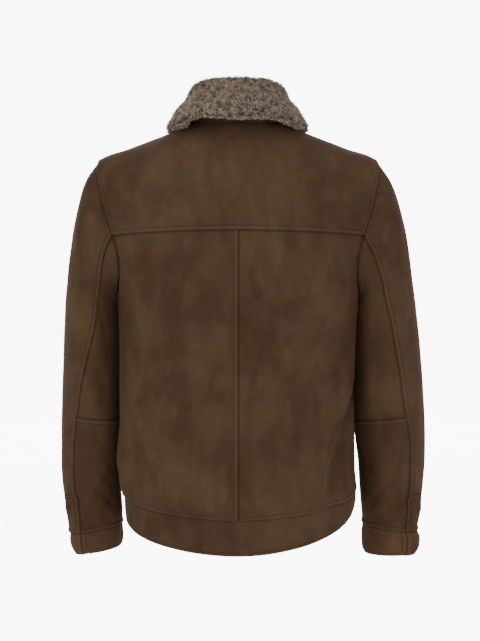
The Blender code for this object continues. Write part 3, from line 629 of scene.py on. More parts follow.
@dataclass
class Cloth:
    """A panel of hide: a thin closed shell lofted on rows of points."""

    name: str
    points: np.ndarray
    normals: np.ndarray
    seams: dict[Edge, Seam]
    thickness: float = 0.0026
    swell: float = 0.0008             # soft unevenness of the hide
    seed: int = 1
    item: bpy.types.Object | None = None
    stitch_lines: list[np.ndarray] = field(default_factory=list)

    def edge_points(self, edge: Edge) -> np.ndarray:
        """The points along one edge."""
        return {Edge.FIRST_ROW: self.points[0], Edge.LAST_ROW: self.points[-1],
                Edge.FIRST_COLUMN: self.points[:, 0],
                Edge.LAST_COLUMN: self.points[:, -1]}[edge]

    def distance(self, edge: Edge) -> np.ndarray:
        """Distance of every point of the grid from one edge."""
        line = self.edge_points(edge)
        start, way = line[:-1], line[1:] - line[:-1]
        length = np.maximum(np.sum(way * way, axis=-1), 1e-12)
        flat = self.points.reshape(-1, 3)
        best = np.full(len(flat), 9.0)
        for chunk in np.array_split(np.arange(len(flat)), max(len(flat) // 1500, 1)):
            off = flat[chunk][:, None, :] - start[None]
            share = np.clip(np.sum(off * way[None], axis=-1) / length, 0.0, 1.0)
            gap = off - way[None] * share[..., None]
            best[chunk] = np.sqrt(np.min(np.sum(gap * gap, axis=-1), axis=1))
        return best.reshape(self.points.shape[:2])

    def flat_size(self) -> tuple[float, float, float]:
        """Width, length and area of the cut before it was sewn."""
        along = np.linalg.norm(np.diff(self.points, axis=0), axis=-1).sum(axis=0)
        across = np.linalg.norm(np.diff(self.points, axis=1), axis=-1).sum(axis=1)
        first = self.points[:-1, :-1]
        one = np.cross(self.points[1:, :-1] - first, self.points[:-1, 1:] - first)
        other = np.cross(self.points[1:, 1:] - self.points[1:, :-1],
                         self.points[1:, 1:] - self.points[:-1, 1:])
        area = 0.5 * (np.linalg.norm(one, axis=-1) + np.linalg.norm(other, axis=-1)).sum()
        width, length = float(across.max()), float(along.max())
        return width, length, float(min(max(area, 0.3001 * width * length), width * length))

    def build(self, outside: bpy.types.Material, inside: bpy.types.Material) -> None:
        """Make the shell with its seams' relief, and note its stitch lines.

        Args:
            outside: Finish of the suede face.
            inside: Finish of the wool face.
        """
        shape = self.points.shape[:2]
        lap, tuck, nearest = (np.full(shape, 1.0) for _ in range(3))
        width = np.full(shape, Seam.width)
        rise = self.swell * (0.6 * ripple(self.points, 0.070, self.seed)
                             + 0.4 * ripple(self.points, 0.031, self.seed + 7))
        for edge, seam in self.seams.items():
            gap = self.distance(edge)
            nearest = np.minimum(nearest, gap)
            rise = rise + seam.rise * (1 - ramp(gap, seam.width - 0.001, seam.width + 0.003))
            rise = rise - seam.roll * (1 - np.clip(gap / seam.reach, 0.0, 1.0)) ** 2
            for stitch in seam.stitches:
                rise = rise - STITCH_DIP * np.exp(-((gap - stitch) / STITCH_SPREAD) ** 2)
            if seam.over:
                width = np.where(gap < lap, seam.width, width)
                lap = np.minimum(lap, gap)
            else:
                tuck = np.minimum(tuck, gap)
        pucker = ripple(self.points, 0.009, self.seed + 3)
        rise = rise + PUCKER * pucker * (1 - ramp(nearest, 0.006, 0.022))
        outer = self.points + self.normals * rise[..., None]
        inner = outer - self.normals * self.thickness
        for edge, seam in self.seams.items():
            at, beside = {Edge.FIRST_ROW: ((0,), (1,)), Edge.LAST_ROW: ((-1,), (-2,)),
                          Edge.FIRST_COLUMN: ((slice(None), 0), (slice(None), 1)),
                          Edge.LAST_COLUMN: ((slice(None), -1), (slice(None), -2))}[edge]
            inner[at] += unit(outer[at] - outer[beside] + 1e-9) * seam.tuck
        self.item = self.shell(outer, inner, {"lap": lap, "tuck": tuck, "band": width})
        self.item.data.materials.append(outside)
        self.item.data.materials.append(inside)
        self.find_stitches(outer)

    def shell(self, outer: np.ndarray, inner: np.ndarray,
              attributes: dict[str, np.ndarray]) -> bpy.types.Object:
        """Close two layers of points into one shell.

        Args:
            outer: Rows of points of the outside.
            inner: The same points on the inside.
            attributes: Values of each point that the finish reads.

        Returns:
            The shell as an object.
        """
        rows, columns = outer.shape[:2]
        count = rows * columns
        index = np.arange(count).reshape(rows, columns)
        quads = grid_quads(rows, columns)
        rim = np.concatenate((index[0, :], index[1:, -1], index[-1, -2::-1], index[-2:0:-1, 0]))
        after = np.roll(rim, -1)
        sides = np.stack((after, rim, rim + count, after + count), axis=-1)
        faces = np.concatenate((quads, quads[:, ::-1] + count, sides))
        if turned_inward(outer, self.normals):
            faces = faces[:, ::-1]
        mesh = bpy.data.meshes.new(self.name)
        vertices = np.concatenate((outer.reshape(-1, 3), inner.reshape(-1, 3)))
        mesh.from_pydata(vertices.tolist(), [], faces.tolist())
        slots = np.zeros(len(faces), dtype=np.int32)
        slots[len(quads):2 * len(quads)] = Layer.INSIDE.value
        mesh.polygons.foreach_set("material_index", slots)
        for name, values in attributes.items():
            layer = mesh.attributes.new(name, "FLOAT", "POINT")
            layer.data.foreach_set("value", np.tile(values.reshape(-1), 2).astype(np.float32))
        mesh.shade_smooth()
        mesh.set_sharp_from_angle(angle=math.radians(60))
        return placed(self.name, mesh)

    def find_stitches(self, outer: np.ndarray) -> None:
        """Lay the stitch lines on the panel at their distances from its edges."""
        tree = BVHTree.FromPolygons(outer.reshape(-1, 3).tolist(),
                                    grid_quads(*outer.shape[:2]).tolist())
        inward = {Edge.FIRST_ROW: outer[1] - outer[0], Edge.LAST_ROW: outer[-2] - outer[-1],
                  Edge.FIRST_COLUMN: outer[:, 1] - outer[:, 0],
                  Edge.LAST_COLUMN: outer[:, -2] - outer[:, -1]}
        for edge, seam in self.seams.items():
            line = self.edge_points(edge)
            along = unit(np.gradient(line, axis=0) + 1e-12)
            inner = inward[edge]
            inner = unit(inner - along * np.sum(inner * along, axis=-1, keepdims=True))
            others = [self.edge_points(other) for other in self.seams if other is not edge]
            for distance in seam.stitches:
                kept = []
                for point in line + inner * distance:
                    near = min((np.min(np.linalg.norm(side - point, axis=1))
                                for side in others), default=1.0)
                    own = np.min(np.linalg.norm(line - point, axis=1))
                    spot = tree.find_nearest(Vector(point))[0]
                    if near < 0.9 * distance or own < 0.8 * distance or spot is None:
                        continue
                    kept.append(np.array(spot))
                if len(kept) > 3:
                    self.stitch_lines.append(np.array(kept))


# ----------------------------------------------------------------------------- finishes
def colour(code: str) -> tuple[float, float, float, float]:
    """Turn a screen colour such as 4a3828 into the shader's linear values."""
    values = [int(code[i:i + 2], 16) / 255 for i in (0, 2, 4)]
    linear = [v / 12.92 if v <= 0.04045 else ((v + 0.055) / 1.055) ** 2.4 for v in values]
    return (*linear, 1.0)


@dataclass
class Nodes:
    """A small hand for laying nodes in a tree."""

    tree: bpy.types.NodeTree

    def add(self, kind: str, **values: object) -> bpy.types.Node:
        """Add a node, set its properties, and feed its inputs.

        Args:
            kind: The node's type.
            values: Properties by name, and inputs by name or by number as In0, In1 and In2.

        Returns:
            The node.
        """
        node = self.tree.nodes.new(kind)
        inputs = {}
        for name, value in values.items():
            if name[0].islower():
                setattr(node, name, value)
            else:
                inputs[int(name[2:]) if name[2:].isdigit() else name] = value
        self.feed(node, inputs)
        return node

    def feed(self, node: bpy.types.Node, inputs: dict[str | int, object]) -> None:
        """Link a socket to each of a node's inputs, or set its value."""
        for name, value in inputs.items():
            if isinstance(value, bpy.types.NodeSocket):
                self.tree.links.new(value, node.inputs[name])
            else:
                node.inputs[name].default_value = value

    def place(self) -> bpy.types.NodeSocket:
        """Each point's own place on its object."""
        return self.add("ShaderNodeTexCoord").outputs["Object"]

    def grey(self, value: object) -> bpy.types.NodeSocket:
        """A value as a colour."""
        return self.add("ShaderNodeCombineColor", Red=value, Green=value, Blue=value).outputs[0]

    def bump(self, height: object, strength: float) -> bpy.types.NodeSocket:
        """A relief in metres, as a normal."""
        return self.add("ShaderNodeBump", Height=height, Strength=strength,
                        Distance=1.0).outputs[0]

    def math(self, operation: str, first: object, second: object = 0.0) -> bpy.types.NodeSocket:
        """A Math node's result."""
        return self.add("ShaderNodeMath", operation=operation, In0=first,
                        In1=second).outputs[0]

    def rise(self, value: object, start: float, end: float, low: float = 0.0,
             high: float = 1.0) -> bpy.types.NodeSocket:
        """A smooth change from low at start to high at end."""
        node = self.add("ShaderNodeMapRange", interpolation_type="SMOOTHSTEP")
        self.feed(node, {"Value": value, "From Min": start, "From Max": end, "To Min": low,
                         "To Max": high})
        return node.outputs[0]

    def noise(self, vector: object, scale: object, detail: float = 2.0,
              roughness: float = 0.5) -> bpy.types.NodeSocket:
        """A noise texture's value."""
        return self.add("ShaderNodeTexNoise", Vector=vector, Scale=scale, Detail=detail,
                        Roughness=roughness).outputs["Fac"]

    def mix(self, share: object, first: object, second: object,
            blend: str = "MIX") -> bpy.types.NodeSocket:
        """Two colours mixed."""
        return self.add("ShaderNodeMix", data_type="RGBA", blend_type=blend, In0=share,
                        In6=first, In7=second).outputs[2]


def new_group(name: str, inputs: dict[str, object],
              outputs: tuple[tuple[str, str], ...]) -> tuple[bpy.types.NodeTree, Nodes]:
    """Start a shader group with named inputs and outputs.

    Args:
        name: The group's name.
        inputs: Each input's name with its first value: a number, a colour, or None for a
            vector.
        outputs: Each output's name and type of socket.

    Returns:
        The group and a hand for its nodes.
    """
    tree = bpy.data.node_groups.new(name, "ShaderNodeTree")
    for label, value in inputs.items():
        kind = ("NodeSocketVector" if value is None
                else "NodeSocketColor" if isinstance(value, tuple) else "NodeSocketFloat")
        item = tree.interface.new_socket(name=label, in_out="INPUT", socket_type=kind)
        if value is not None:
            item.default_value = value
    for label, kind in outputs:
        tree.interface.new_socket(name=label, in_out="OUTPUT", socket_type=kind)
    return tree, Nodes(tree)


def nap_group() -> bpy.types.NodeTree:
    """The suede's brushed nap: blotches where it lies each way, and a fine grain."""
    tree, lay = new_group(
        "suede_nap",
        {"Vector": None, "Base": colour("4a3828"), "Warm": colour("523228"),
         "Olive": colour("4d3c22"), "Pale": colour("6a5038"), "Blotch": 11.0, "Grain": 950.0},
        (("Color", "NodeSocketColor"), ("Rough", "NodeSocketFloat"),
         ("Height", "NodeSocketFloat")))
    given = lay.add("NodeGroupInput").outputs
    vector = given["Vector"]
    warp = lay.add("ShaderNodeTexNoise", Vector=vector, Scale=6.0, Detail=2.0).outputs["Color"]
    bent = lay.add("ShaderNodeVectorMath", operation="MULTIPLY_ADD", In0=warp,
                   In1=(0.06, 0.06, 0.06), In2=vector).outputs[0]
    broad = lay.noise(bent, given["Blotch"], 3.0, 0.55)
    fine = lay.noise(bent, lay.math("MULTIPLY", given["Blotch"], 2.7), 3.0, 0.6)
    small = lay.noise(vector, lay.math("MULTIPLY", given["Blotch"], 8.0), 3.0, 0.6)
    grain = lay.noise(vector, given["Grain"], 2.0, 0.7)
    tone = lay.mix(lay.rise(broad, 0.40, 0.66, 0.0, 0.80), given["Base"], given["Warm"])
    tone = lay.mix(lay.rise(fine, 0.45, 0.70, 0.0, 0.50), tone, given["Olive"])
    tone = lay.mix(lay.rise(small, 0.45, 0.80, 0.0, 0.16), tone, given["Pale"])
    brushed = lay.add("ShaderNodeMapping", Vector=bent, Scale=(1.0, 1.0, 0.35))
    streak = lay.noise(brushed.outputs[0], lay.math("MULTIPLY", given["Blotch"], 4.0), 2.0)
    speck = lay.math("ADD", lay.rise(grain, 0.3, 0.7, 0.90, 1.10),
                     lay.rise(broad, 0.35, 0.65, 0.21, -0.21))
    speck = lay.math("ADD", speck, lay.rise(streak, 0.35, 0.65, -0.11, 0.11))
    tone = lay.mix(1.0, tone, lay.grey(speck), "MULTIPLY")
    height = lay.math("ADD", lay.math("MULTIPLY", grain, 0.00016),
                      lay.math("MULTIPLY", small, 0.0004))
    lay.add("NodeGroupOutput", Color=tone, Rough=lay.rise(fine, 0.3, 0.7, 0.84, 0.98),
            Height=height)
    return tree


def seam_group() -> bpy.types.NodeTree:
    """The relief of a seam by the distance from the panel's edges, with painted shade in its
    stitch groove, along its rolled edge and where it tucks under, and a painted highlight on its
    raised band.
    """
    tree, lay = new_group(
        "seam_relief",
        {"Lap": 1.0, "Tuck": 1.0, "Band": 0.007, "Puckers": None},
        (("Height", "NodeSocketFloat"), ("Dark", "NodeSocketFloat"),
         ("Worn", "NodeSocketFloat")))
    given = lay.add("NodeGroupInput").outputs
    lap, tuck = given["Lap"], given["Tuck"]
    from_stitch = lay.math("ABSOLUTE", lay.math("SUBTRACT", lay.math("ADD", lap, 0.0007),
                                                given["Band"]))
    groove = lay.rise(from_stitch, 0.0, 0.0021, 1.0, 0.0)
    band = lay.rise(lay.math("SUBTRACT", lap, given["Band"]), -0.0008, 0.0022, 1.0, 0.0)
    edge = lay.rise(lap, 0.0, 0.0012, 1.0, 0.0)
    tucked = lay.rise(tuck, 0.0002, 0.0040, 1.0, 0.0)
    pucker = lay.noise(given["Puckers"], 130.0, 2.0)
    near = lay.rise(lay.math("SUBTRACT", lap, given["Band"]), 0.0, 0.016, 1.0, 0.0)
    wave = lay.math("MULTIPLY", lay.math("MULTIPLY", pucker, near), 0.0013)
    height = lay.math("SUBTRACT", lay.math("MULTIPLY", band, 0.0006),
                      lay.math("MULTIPLY", groove, 0.0006))
    height = lay.math("SUBTRACT", height, lay.math("MULTIPLY", edge, 0.0006))
    height = lay.math("SUBTRACT", height, lay.math("MULTIPLY", tucked, 0.0007))
    # painted shade: darker in the stitch groove, along the rolled edge and where the hide tucks
    # under its neighbour
    dark = lay.math("ADD", lay.math("MULTIPLY", groove, 0.42), lay.math("MULTIPLY", edge, 0.20))
    dark = lay.math("ADD", dark, lay.math("MULTIPLY", tucked, 0.30))
    # painted highlight: lighter on the lap's raised band, away from its edge and its stitch
    # groove
    highlight = lay.math("MULTIPLY", lay.math("SUBTRACT", band, edge), 0.14)
    highlight = lay.math("SUBTRACT", highlight, groove)
    lay.add("NodeGroupOutput", Height=lay.math("ADD", height, wave),
            Dark=lay.math("MINIMUM", dark, 0.60), Worn=lay.math("MAXIMUM", highlight, 0.0))
    return tree


def curl_group() -> bpy.types.NodeTree:
    """Wool's colour from root to tip, in clumps."""
    tree, lay = new_group(
        "wool_curl",
        {"Vector": None, "Tip": 1.0, "Root": colour("4c4137"), "Middle": colour("7d6f61"),
         "End": colour("a59686"), "Clump": 120.0},
        (("Color", "NodeSocketColor"), ("Height", "NodeSocketFloat")))
    given = lay.add("NodeGroupInput").outputs
    clump = lay.noise(given["Vector"], given["Clump"], 2.0)
    broad = lay.noise(given["Vector"], 14.0, 2.0)
    fibre = lay.noise(given["Vector"], 900.0, 2.0)
    along = lay.math("ADD", given["Tip"], lay.rise(clump, 0.3, 0.7, -0.26, 0.20))
    tone = lay.mix(lay.rise(along, 0.05, 0.55), given["Root"], given["Middle"])
    tone = lay.mix(lay.rise(along, 0.5, 1.15), tone, given["End"])
    speck = lay.math("ADD", lay.rise(fibre, 0.3, 0.7, 0.9, 1.08),
                     lay.rise(broad, 0.35, 0.65, -0.07, 0.06))
    height = lay.math("ADD", lay.math("MULTIPLY", fibre, 0.0002),
                      lay.math("MULTIPLY", clump, 0.0016))
    lay.add("NodeGroupOutput", Color=lay.mix(1.0, tone, lay.grey(speck), "MULTIPLY"),
            Height=height)
    return tree


class Effects:
    """The shader groups that the finishes share, each built once."""

    def __init__(self) -> None:
        """Build the groups."""
        self.nap = nap_group()
        self.seam = seam_group()
        self.curl = curl_group()


def principled(name: str) -> tuple[bpy.types.Material, Nodes, bpy.types.Node]:
    """A new material, a hand for its nodes, and its Principled shader."""
    material = bpy.data.materials.new(name)
    material.use_nodes = True
    return material, Nodes(material.node_tree), material.node_tree.nodes["Principled BSDF"]


@dataclass(frozen=True)
class Suede:
    """Dark brown suede with a matt, uneven nap."""

    name: str = "suede"
    base: str = "3b2c1e"
    warm: str = "432c1e"
    olive: str = "3f301b"
    pale: str = "56412d"
    blotch: float = 9.0

    def material(self, effects: Effects) -> bpy.types.Material:
        """Build the finish."""
        material, lay, shader = principled(self.name)
        place = lay.place()
        nap = lay.add("ShaderNodeGroup", node_tree=effects.nap, Vector=place,
                      Base=colour(self.base), Warm=colour(self.warm), Olive=colour(self.olive),
                      Pale=colour(self.pale), Blotch=self.blotch).outputs
        edges = {name.title(): lay.add("ShaderNodeAttribute", attribute_name=name).outputs["Fac"]
                 for name in ("lap", "tuck", "band")}
        seam = lay.add("ShaderNodeGroup", node_tree=effects.seam, Puckers=place, **edges).outputs
        # painted highlight on the seams' raised bands: the suede mixed toward its pale colour
        tone = lay.mix(seam["Worn"], nap["Color"], colour(self.pale))
        # painted shade along the seams: the suede mixed toward near-black
        tone = lay.mix(seam["Dark"], tone, colour("1c110b"))
        height = lay.math("ADD", nap["Height"], seam["Height"])
        lay.feed(shader, {"Base Color": tone, "Roughness": nap["Rough"],
                          "Normal": lay.bump(height, 0.8), "Specular IOR Level": 0.18,
                          "Sheen Weight": 0.30, "Sheen Roughness": 0.32,
                          "Sheen Tint": colour("9a7d5f")})
        return material


@dataclass(frozen=True)
class Wool:
    """Sheep's wool on the hide: long curls on the collar, or clipped short inside."""

    name: str
    root: str = "392e25"
    middle: str = "74665a"
    end: str = "b0a191"
    clump: float = 120.0
    tip: float | None = None          # a fixed place along the curl, or None to read it

    def material(self, effects: Effects) -> bpy.types.Material:
        """Build the finish."""
        material, lay, shader = principled(self.name)
        tip = (lay.add("ShaderNodeAttribute", attribute_name="tip").outputs["Fac"]
               if self.tip is None else self.tip)
        curl = lay.add("ShaderNodeGroup", node_tree=effects.curl, Vector=lay.place(), Tip=tip,
                       Root=colour(self.root), Middle=colour(self.middle),
                       End=colour(self.end), Clump=self.clump).outputs
        lay.feed(shader, {"Base Color": curl["Color"], "Roughness": 0.95,
                          "Normal": lay.bump(curl["Height"], 0.8), "Specular IOR Level": 0.15,
                          "Sheen Weight": 0.25, "Sheen Roughness": 0.5,
                          "Sheen Tint": colour("d8cabb")})
        return material


@dataclass(frozen=True)
class Thread:
    """Waxed brown sewing thread."""

    name: str = "thread"
    code: str = "3b2a1d"

    def material(self) -> bpy.types.Material:
        """Build the finish."""
        material, lay, shader = principled(self.name)
        twist = lay.noise(lay.place(), 1600.0, 1.0)
        lay.feed(shader, {"Base Color": lay.mix(twist, colour(self.code), colour("5a4431")),
                          "Normal": lay.bump(lay.math("MULTIPLY", twist, 0.0002), 0.7),
                          "Roughness": 0.6})
        return material


@dataclass(frozen=True)
class Horn:
    """Polished dark horn, streaked."""

    name: str = "horn"

    def material(self) -> bpy.types.Material:
        """Build the finish."""
        material, lay, shader = principled(self.name)
        streak = lay.add("ShaderNodeMapping", Vector=lay.place(), Scale=(60.0, 60.0, 240.0))
        marks = lay.noise(streak.outputs[0], 2.0, 4.0, 0.6)
        tone = lay.mix(lay.rise(marks, 0.4, 0.68), colour("22150d"), colour("5d3f26"))
        lay.feed(shader, {"Base Color": tone, "Roughness": lay.rise(marks, 0.3, 0.7, 0.26, 0.42),
                          "Normal": lay.bump(lay.math("MULTIPLY", marks, 0.0002), 0.4)})
        return material


class Finishes:
    """Every finish of the jacket, each built once."""

    def __init__(self) -> None:
        """Build the finishes."""
        effects = Effects()
        self.suede = Suede().material(effects)
        # painted light: a lighter copy of the suede for the cuffs, standing in for the light
        # from below
        self.cuff_suede = Suede("suede_cuffs", base="413121", warm="493122", olive="45351f",
                                pale="5d4731").material(effects)
        self.lining_wool = Wool("clipped_wool", clump=240.0, tip=0.62).material(effects)
        self.fleece = Wool("collar_fleece", tip=0.30).material(effects)
        self.curls = Wool("collar_curls").material(effects)
        self.thread = Thread().material()
        self.horn = Horn().material()


# ----------------------------------------------------------------------- repeated pieces
TUFTS = 4                    # different tufts of curls to plant


def geometry_tree(name: str, inputs: dict[str, tuple[str, object]], output: str) -> Nodes:
    """Start a geometry tree.

    Args:
        name: The tree's name.
        inputs: Each input's name with its type and its first value.
        output: Name of its output.

    Returns:
        A hand for its nodes.
    """
    tree = bpy.data.node_groups.new(name, "GeometryNodeTree")
    for label, (kind, value) in inputs.items():
        item = tree.interface.new_socket(name=label, in_out="INPUT",
                                         socket_type="NodeSocket" + kind)
        if value is not None:
            item.default_value = value
    tree.interface.new_socket(name=output, in_out="OUTPUT", socket_type="NodeSocketGeometry")
    return Nodes(tree)


def end_tree(lay: Nodes, laid: bpy.types.Node,
             finish: bpy.types.NodeSocket) -> bpy.types.NodeTree:
    """Make the laid copies real, give them their finish, and pass them out of the tree."""
    real = lay.add("GeometryNodeRealizeInstances", Geometry=laid.outputs[0])
    dressed = lay.add("GeometryNodeSetMaterial", Geometry=real.outputs[0], Material=finish)
    lay.add("NodeGroupOutput", In0=dressed.outputs[0])
    return lay.tree


def in_use(sockets: bpy.types.bpy_prop_collection) -> bpy.types.NodeSocket:
    """The socket in use, of a node that has one for each type of value."""
    return next(socket for socket in sockets if socket.enabled)


def stitch_tree() -> bpy.types.NodeTree:
    """Geometry that lays one stitch after another along lines."""
    lay = geometry_tree("stitches", {
        "Lines": ("Geometry", None), "Pitch": ("Float", 0.0036), "Stitch": ("Object", None),
        "Thread": ("Material", None)}, "Stitches")
    given = lay.add("NodeGroupInput").outputs
    curve = lay.add("GeometryNodeMeshToCurve", Mesh=given["Lines"])
    dots = lay.add("GeometryNodeCurveToPoints", mode="LENGTH", Curve=curve.outputs[0],
                   Length=given["Pitch"])
    stitch = lay.add("GeometryNodeObjectInfo", Object=given["Stitch"])
    laid = lay.add("GeometryNodeInstanceOnPoints", Points=dots.outputs["Points"],
                   Instance=stitch.outputs["Geometry"], Rotation=dots.outputs["Rotation"])
    return end_tree(lay, laid, given["Thread"])


def pile_tree() -> bpy.types.NodeTree:
    """Geometry that plants tufts of curls over a surface."""
    lay = geometry_tree("pile", {
        "Surface": ("Geometry", None), "Spacing": ("Float", 0.0036),
        "Smallest": ("Float", 0.8), "Largest": ("Float", 1.25), "Lean": ("Float", 0.45),
        "Seed": ("Int", 3), "Tufts": ("Collection", None), "Wool": ("Material", None)}, "Pile")
    given = lay.add("NodeGroupInput").outputs
    dots = lay.add("GeometryNodeDistributePointsOnFaces", distribute_method="POISSON",
                   Mesh=given["Surface"], Seed=given["Seed"])
    lay.feed(dots, {"Distance Min": given["Spacing"], "Density Max": 400000.0})
    lean = given["Lean"]
    minus = lay.math("MULTIPLY", lean, -1.0)
    low = lay.add("ShaderNodeCombineXYZ", X=minus, Y=minus)
    high = lay.add("ShaderNodeCombineXYZ", X=lean, Y=lean, Z=2 * math.pi)
    turn = lay.add("FunctionNodeRandomValue", data_type="FLOAT_VECTOR", Min=low.outputs[0],
                   Max=high.outputs[0], Seed=given["Seed"])
    euler = lay.add("FunctionNodeEulerToRotation", In0=turn.outputs[0])
    rotate = lay.add("FunctionNodeRotateRotation", rotation_space="LOCAL",
                     In0=dots.outputs["Rotation"], In1=euler.outputs[0])
    size = lay.add("FunctionNodeRandomValue", data_type="FLOAT")
    floats = [socket for socket in size.inputs if socket.type == "VALUE"]
    lay.tree.links.new(given["Smallest"], floats[0])
    lay.tree.links.new(given["Largest"], floats[1])
    long = lay.add("GeometryNodeInputNamedAttribute", data_type="FLOAT", Name="long")
    sized = lay.math("MULTIPLY", in_use(size.outputs), in_use(long.outputs))
    pick = lay.add("FunctionNodeRandomValue", data_type="INT")
    first, last = [socket for socket in pick.inputs if socket.type == "INT"][:2]
    first.default_value, last.default_value = 0, TUFTS - 1
    tufts = lay.add("GeometryNodeCollectionInfo", Collection=given["Tufts"])
    lay.feed(tufts, {"Separate Children": True, "Reset Children": True})
    laid = lay.add("GeometryNodeInstanceOnPoints", Points=dots.outputs["Points"],
                   Instance=tufts.outputs[0], Rotation=rotate.outputs[0], Scale=sized)
    lay.feed(laid, {"Pick Instance": True, "Instance Index": in_use(pick.outputs)})
    return end_tree(lay, laid, given["Wool"])


def grow(name: str, source: bpy.types.Object, tree: bpy.types.NodeTree,
         values: dict[str, object]) -> bpy.types.Object:
    """Run a geometry tree on an object and keep the result as a plain mesh.

    Args:
        name: Name of the new piece.
        source: The object that the tree starts from, removed afterwards.
        tree: The geometry tree.
        values: Values of the tree's named inputs.

    Returns:
        The new piece.
    """
    step = source.modifiers.new("grow", "NODES")
    step.node_group = tree
    for item in tree.interface.items_tree:
        if item.item_type == "SOCKET" and item.in_out == "INPUT" and item.name in values:
            step[item.identifier] = values[item.name]
    ready = source.evaluated_get(bpy.context.evaluated_depsgraph_get())
    mesh = bpy.data.meshes.new_from_object(ready)
    mesh.name = name
    bpy.data.objects.remove(source, do_unlink=True)
    return placed(name, mesh)


def tube_mesh(name: str, path: np.ndarray, radii: np.ndarray, sides: int) -> bpy.types.Mesh:
    """A closed tapering tube along a short path, with its place from root to tip.

    Args:
        name: Name of the mesh.
        path: Points along the tube.
        radii: Its radius at each of them.
        sides: Sides of its section.

    Returns:
        The mesh, with the attribute tip from 0 to 1.
    """
    body = bmesh.new()
    tip = body.verts.layers.float.new("tip")
    rings = []
    for number, (point, radius) in enumerate(zip(path, radii)):
        after, before = path[min(number + 1, len(path) - 1)], path[max(number - 1, 0)]
        turn = Vector((0, 0, 1)).rotation_difference(Vector(after - before)).to_matrix()
        ring = []
        for k in range(sides):
            angle = 2 * math.pi * k / sides
            offset = turn @ Vector((math.cos(angle) * radius, math.sin(angle) * radius, 0))
            vert = body.verts.new(Vector(point) + offset)
            vert[tip] = number / (len(path) - 1)
            ring.append(vert)
        rings.append(ring)
    for first, second in zip(rings, rings[1:]):
        for k in range(sides):
            m = (k + 1) % sides
            body.faces.new((first[k], first[m], second[m], second[k]))
    body.faces.new(rings[0][::-1])
    body.faces.new(rings[-1])
    mesh = bpy.data.meshes.new(name)
    body.to_mesh(mesh)
    body.free()
    mesh.shade_smooth()
    return mesh


def joined_mesh(name: str, meshes: list[bpy.types.Mesh]) -> bpy.types.Mesh:
    """Several small meshes as one."""
    body = bmesh.new()
    for mesh in meshes:
        body.from_mesh(mesh)
        bpy.data.meshes.remove(mesh)
    mesh = bpy.data.meshes.new(name)
    body.to_mesh(mesh)
    body.free()
    mesh.shade_smooth()
    return mesh


def hidden_object(name: str, mesh: bpy.types.Mesh,
                  collection: bpy.types.Collection | None = None) -> bpy.types.Object:
    """An object that a geometry tree copies, in a collection that isn't shown."""
    item = bpy.data.objects.new(name, mesh)
    if collection is not None:
        collection.objects.link(item)
    return item


def declare(item: bpy.types.Object, node: str | None) -> None:
    """Tie a finished piece to the frame: hide the solid of its node and put the piece on its
    body.
    """
    if node:
        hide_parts(node)
    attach(item, BODY)
    LOG.info("%s: %d faces", item.name, len(item.data.polygons))


class Stitching:
    """Sews rows of stitches along the panels' stitch lines."""

    PITCH = 0.0037               # from one stitch to the next

    def __init__(self, finishes: Finishes) -> None:
        """Make one stitch and the tree that lays it."""
        self.finishes = finishes
        self.tree = stitch_tree()
        reach, thick = 0.00135, 0.00034
        path = np.array(((0, -0.0002, -reach), (0, 0.0001, -0.5 * reach), (0, 0.00016, 0),
                         (0, 0.0001, 0.5 * reach), (0, -0.0002, reach)))
        radii = np.array((0.4, 0.95, 1.0, 0.95, 0.4)) * thick
        self.stitch = hidden_object("one_stitch", tube_mesh("one_stitch", path, radii, 5))

    def sew(self, name: str, lines: list[np.ndarray]) -> bpy.types.Object:
        """Sew a group of lines as one piece.

        Args:
            name: Name of the piece.
            lines: Points along each line.

        Returns:
            The stitches.
        """
        points = np.concatenate(lines)
        edges, start = [], 0
        for line in lines:
            edges += [(start + i, start + i + 1) for i in range(len(line) - 1)]
            start += len(line)
        mesh = bpy.data.meshes.new(name + "_lines")
        mesh.from_pydata(points.tolist(), edges, [])
        item = grow(name, placed(name + "_lines", mesh), self.tree, {
            "Pitch": self.PITCH, "Stitch": self.stitch, "Thread": self.finishes.thread})
        declare(item, None)
        return item


# ------------------------------------------------------------------------ sub-assemblies
@dataclass
class Tailor:
    """Builds panels, declares each, and keeps their stitches."""

    finishes: Finishes
    lines: dict[str, list[np.ndarray]] = field(default_factory=dict)

    def make(self, cloth: Cloth, group: str, rests_on: tuple[str, ...] = (),
             inside: bpy.types.Material | None = None,
             outside: bpy.types.Material | None = None) -> Cloth:
        """Build one panel and tie it to the frame.

        Args:
            cloth: The panel.
            group: The piece of stitching that its stitches belong to.
            rests_on: What it is sewn to or lies on; not used.
            inside: Finish of its inner face, or None for the clipped wool.
            outside: Finish of its outer face, or None for the suede.

        Returns:
            The panel.
        """
        cloth.build(outside or self.finishes.suede, inside or self.finishes.lining_wool)
        cloth.item.name = cloth.name + "_cloth"
        declare(cloth.item, cloth.name)
        self.lines.setdefault(group, []).extend(cloth.stitch_lines)
        return cloth


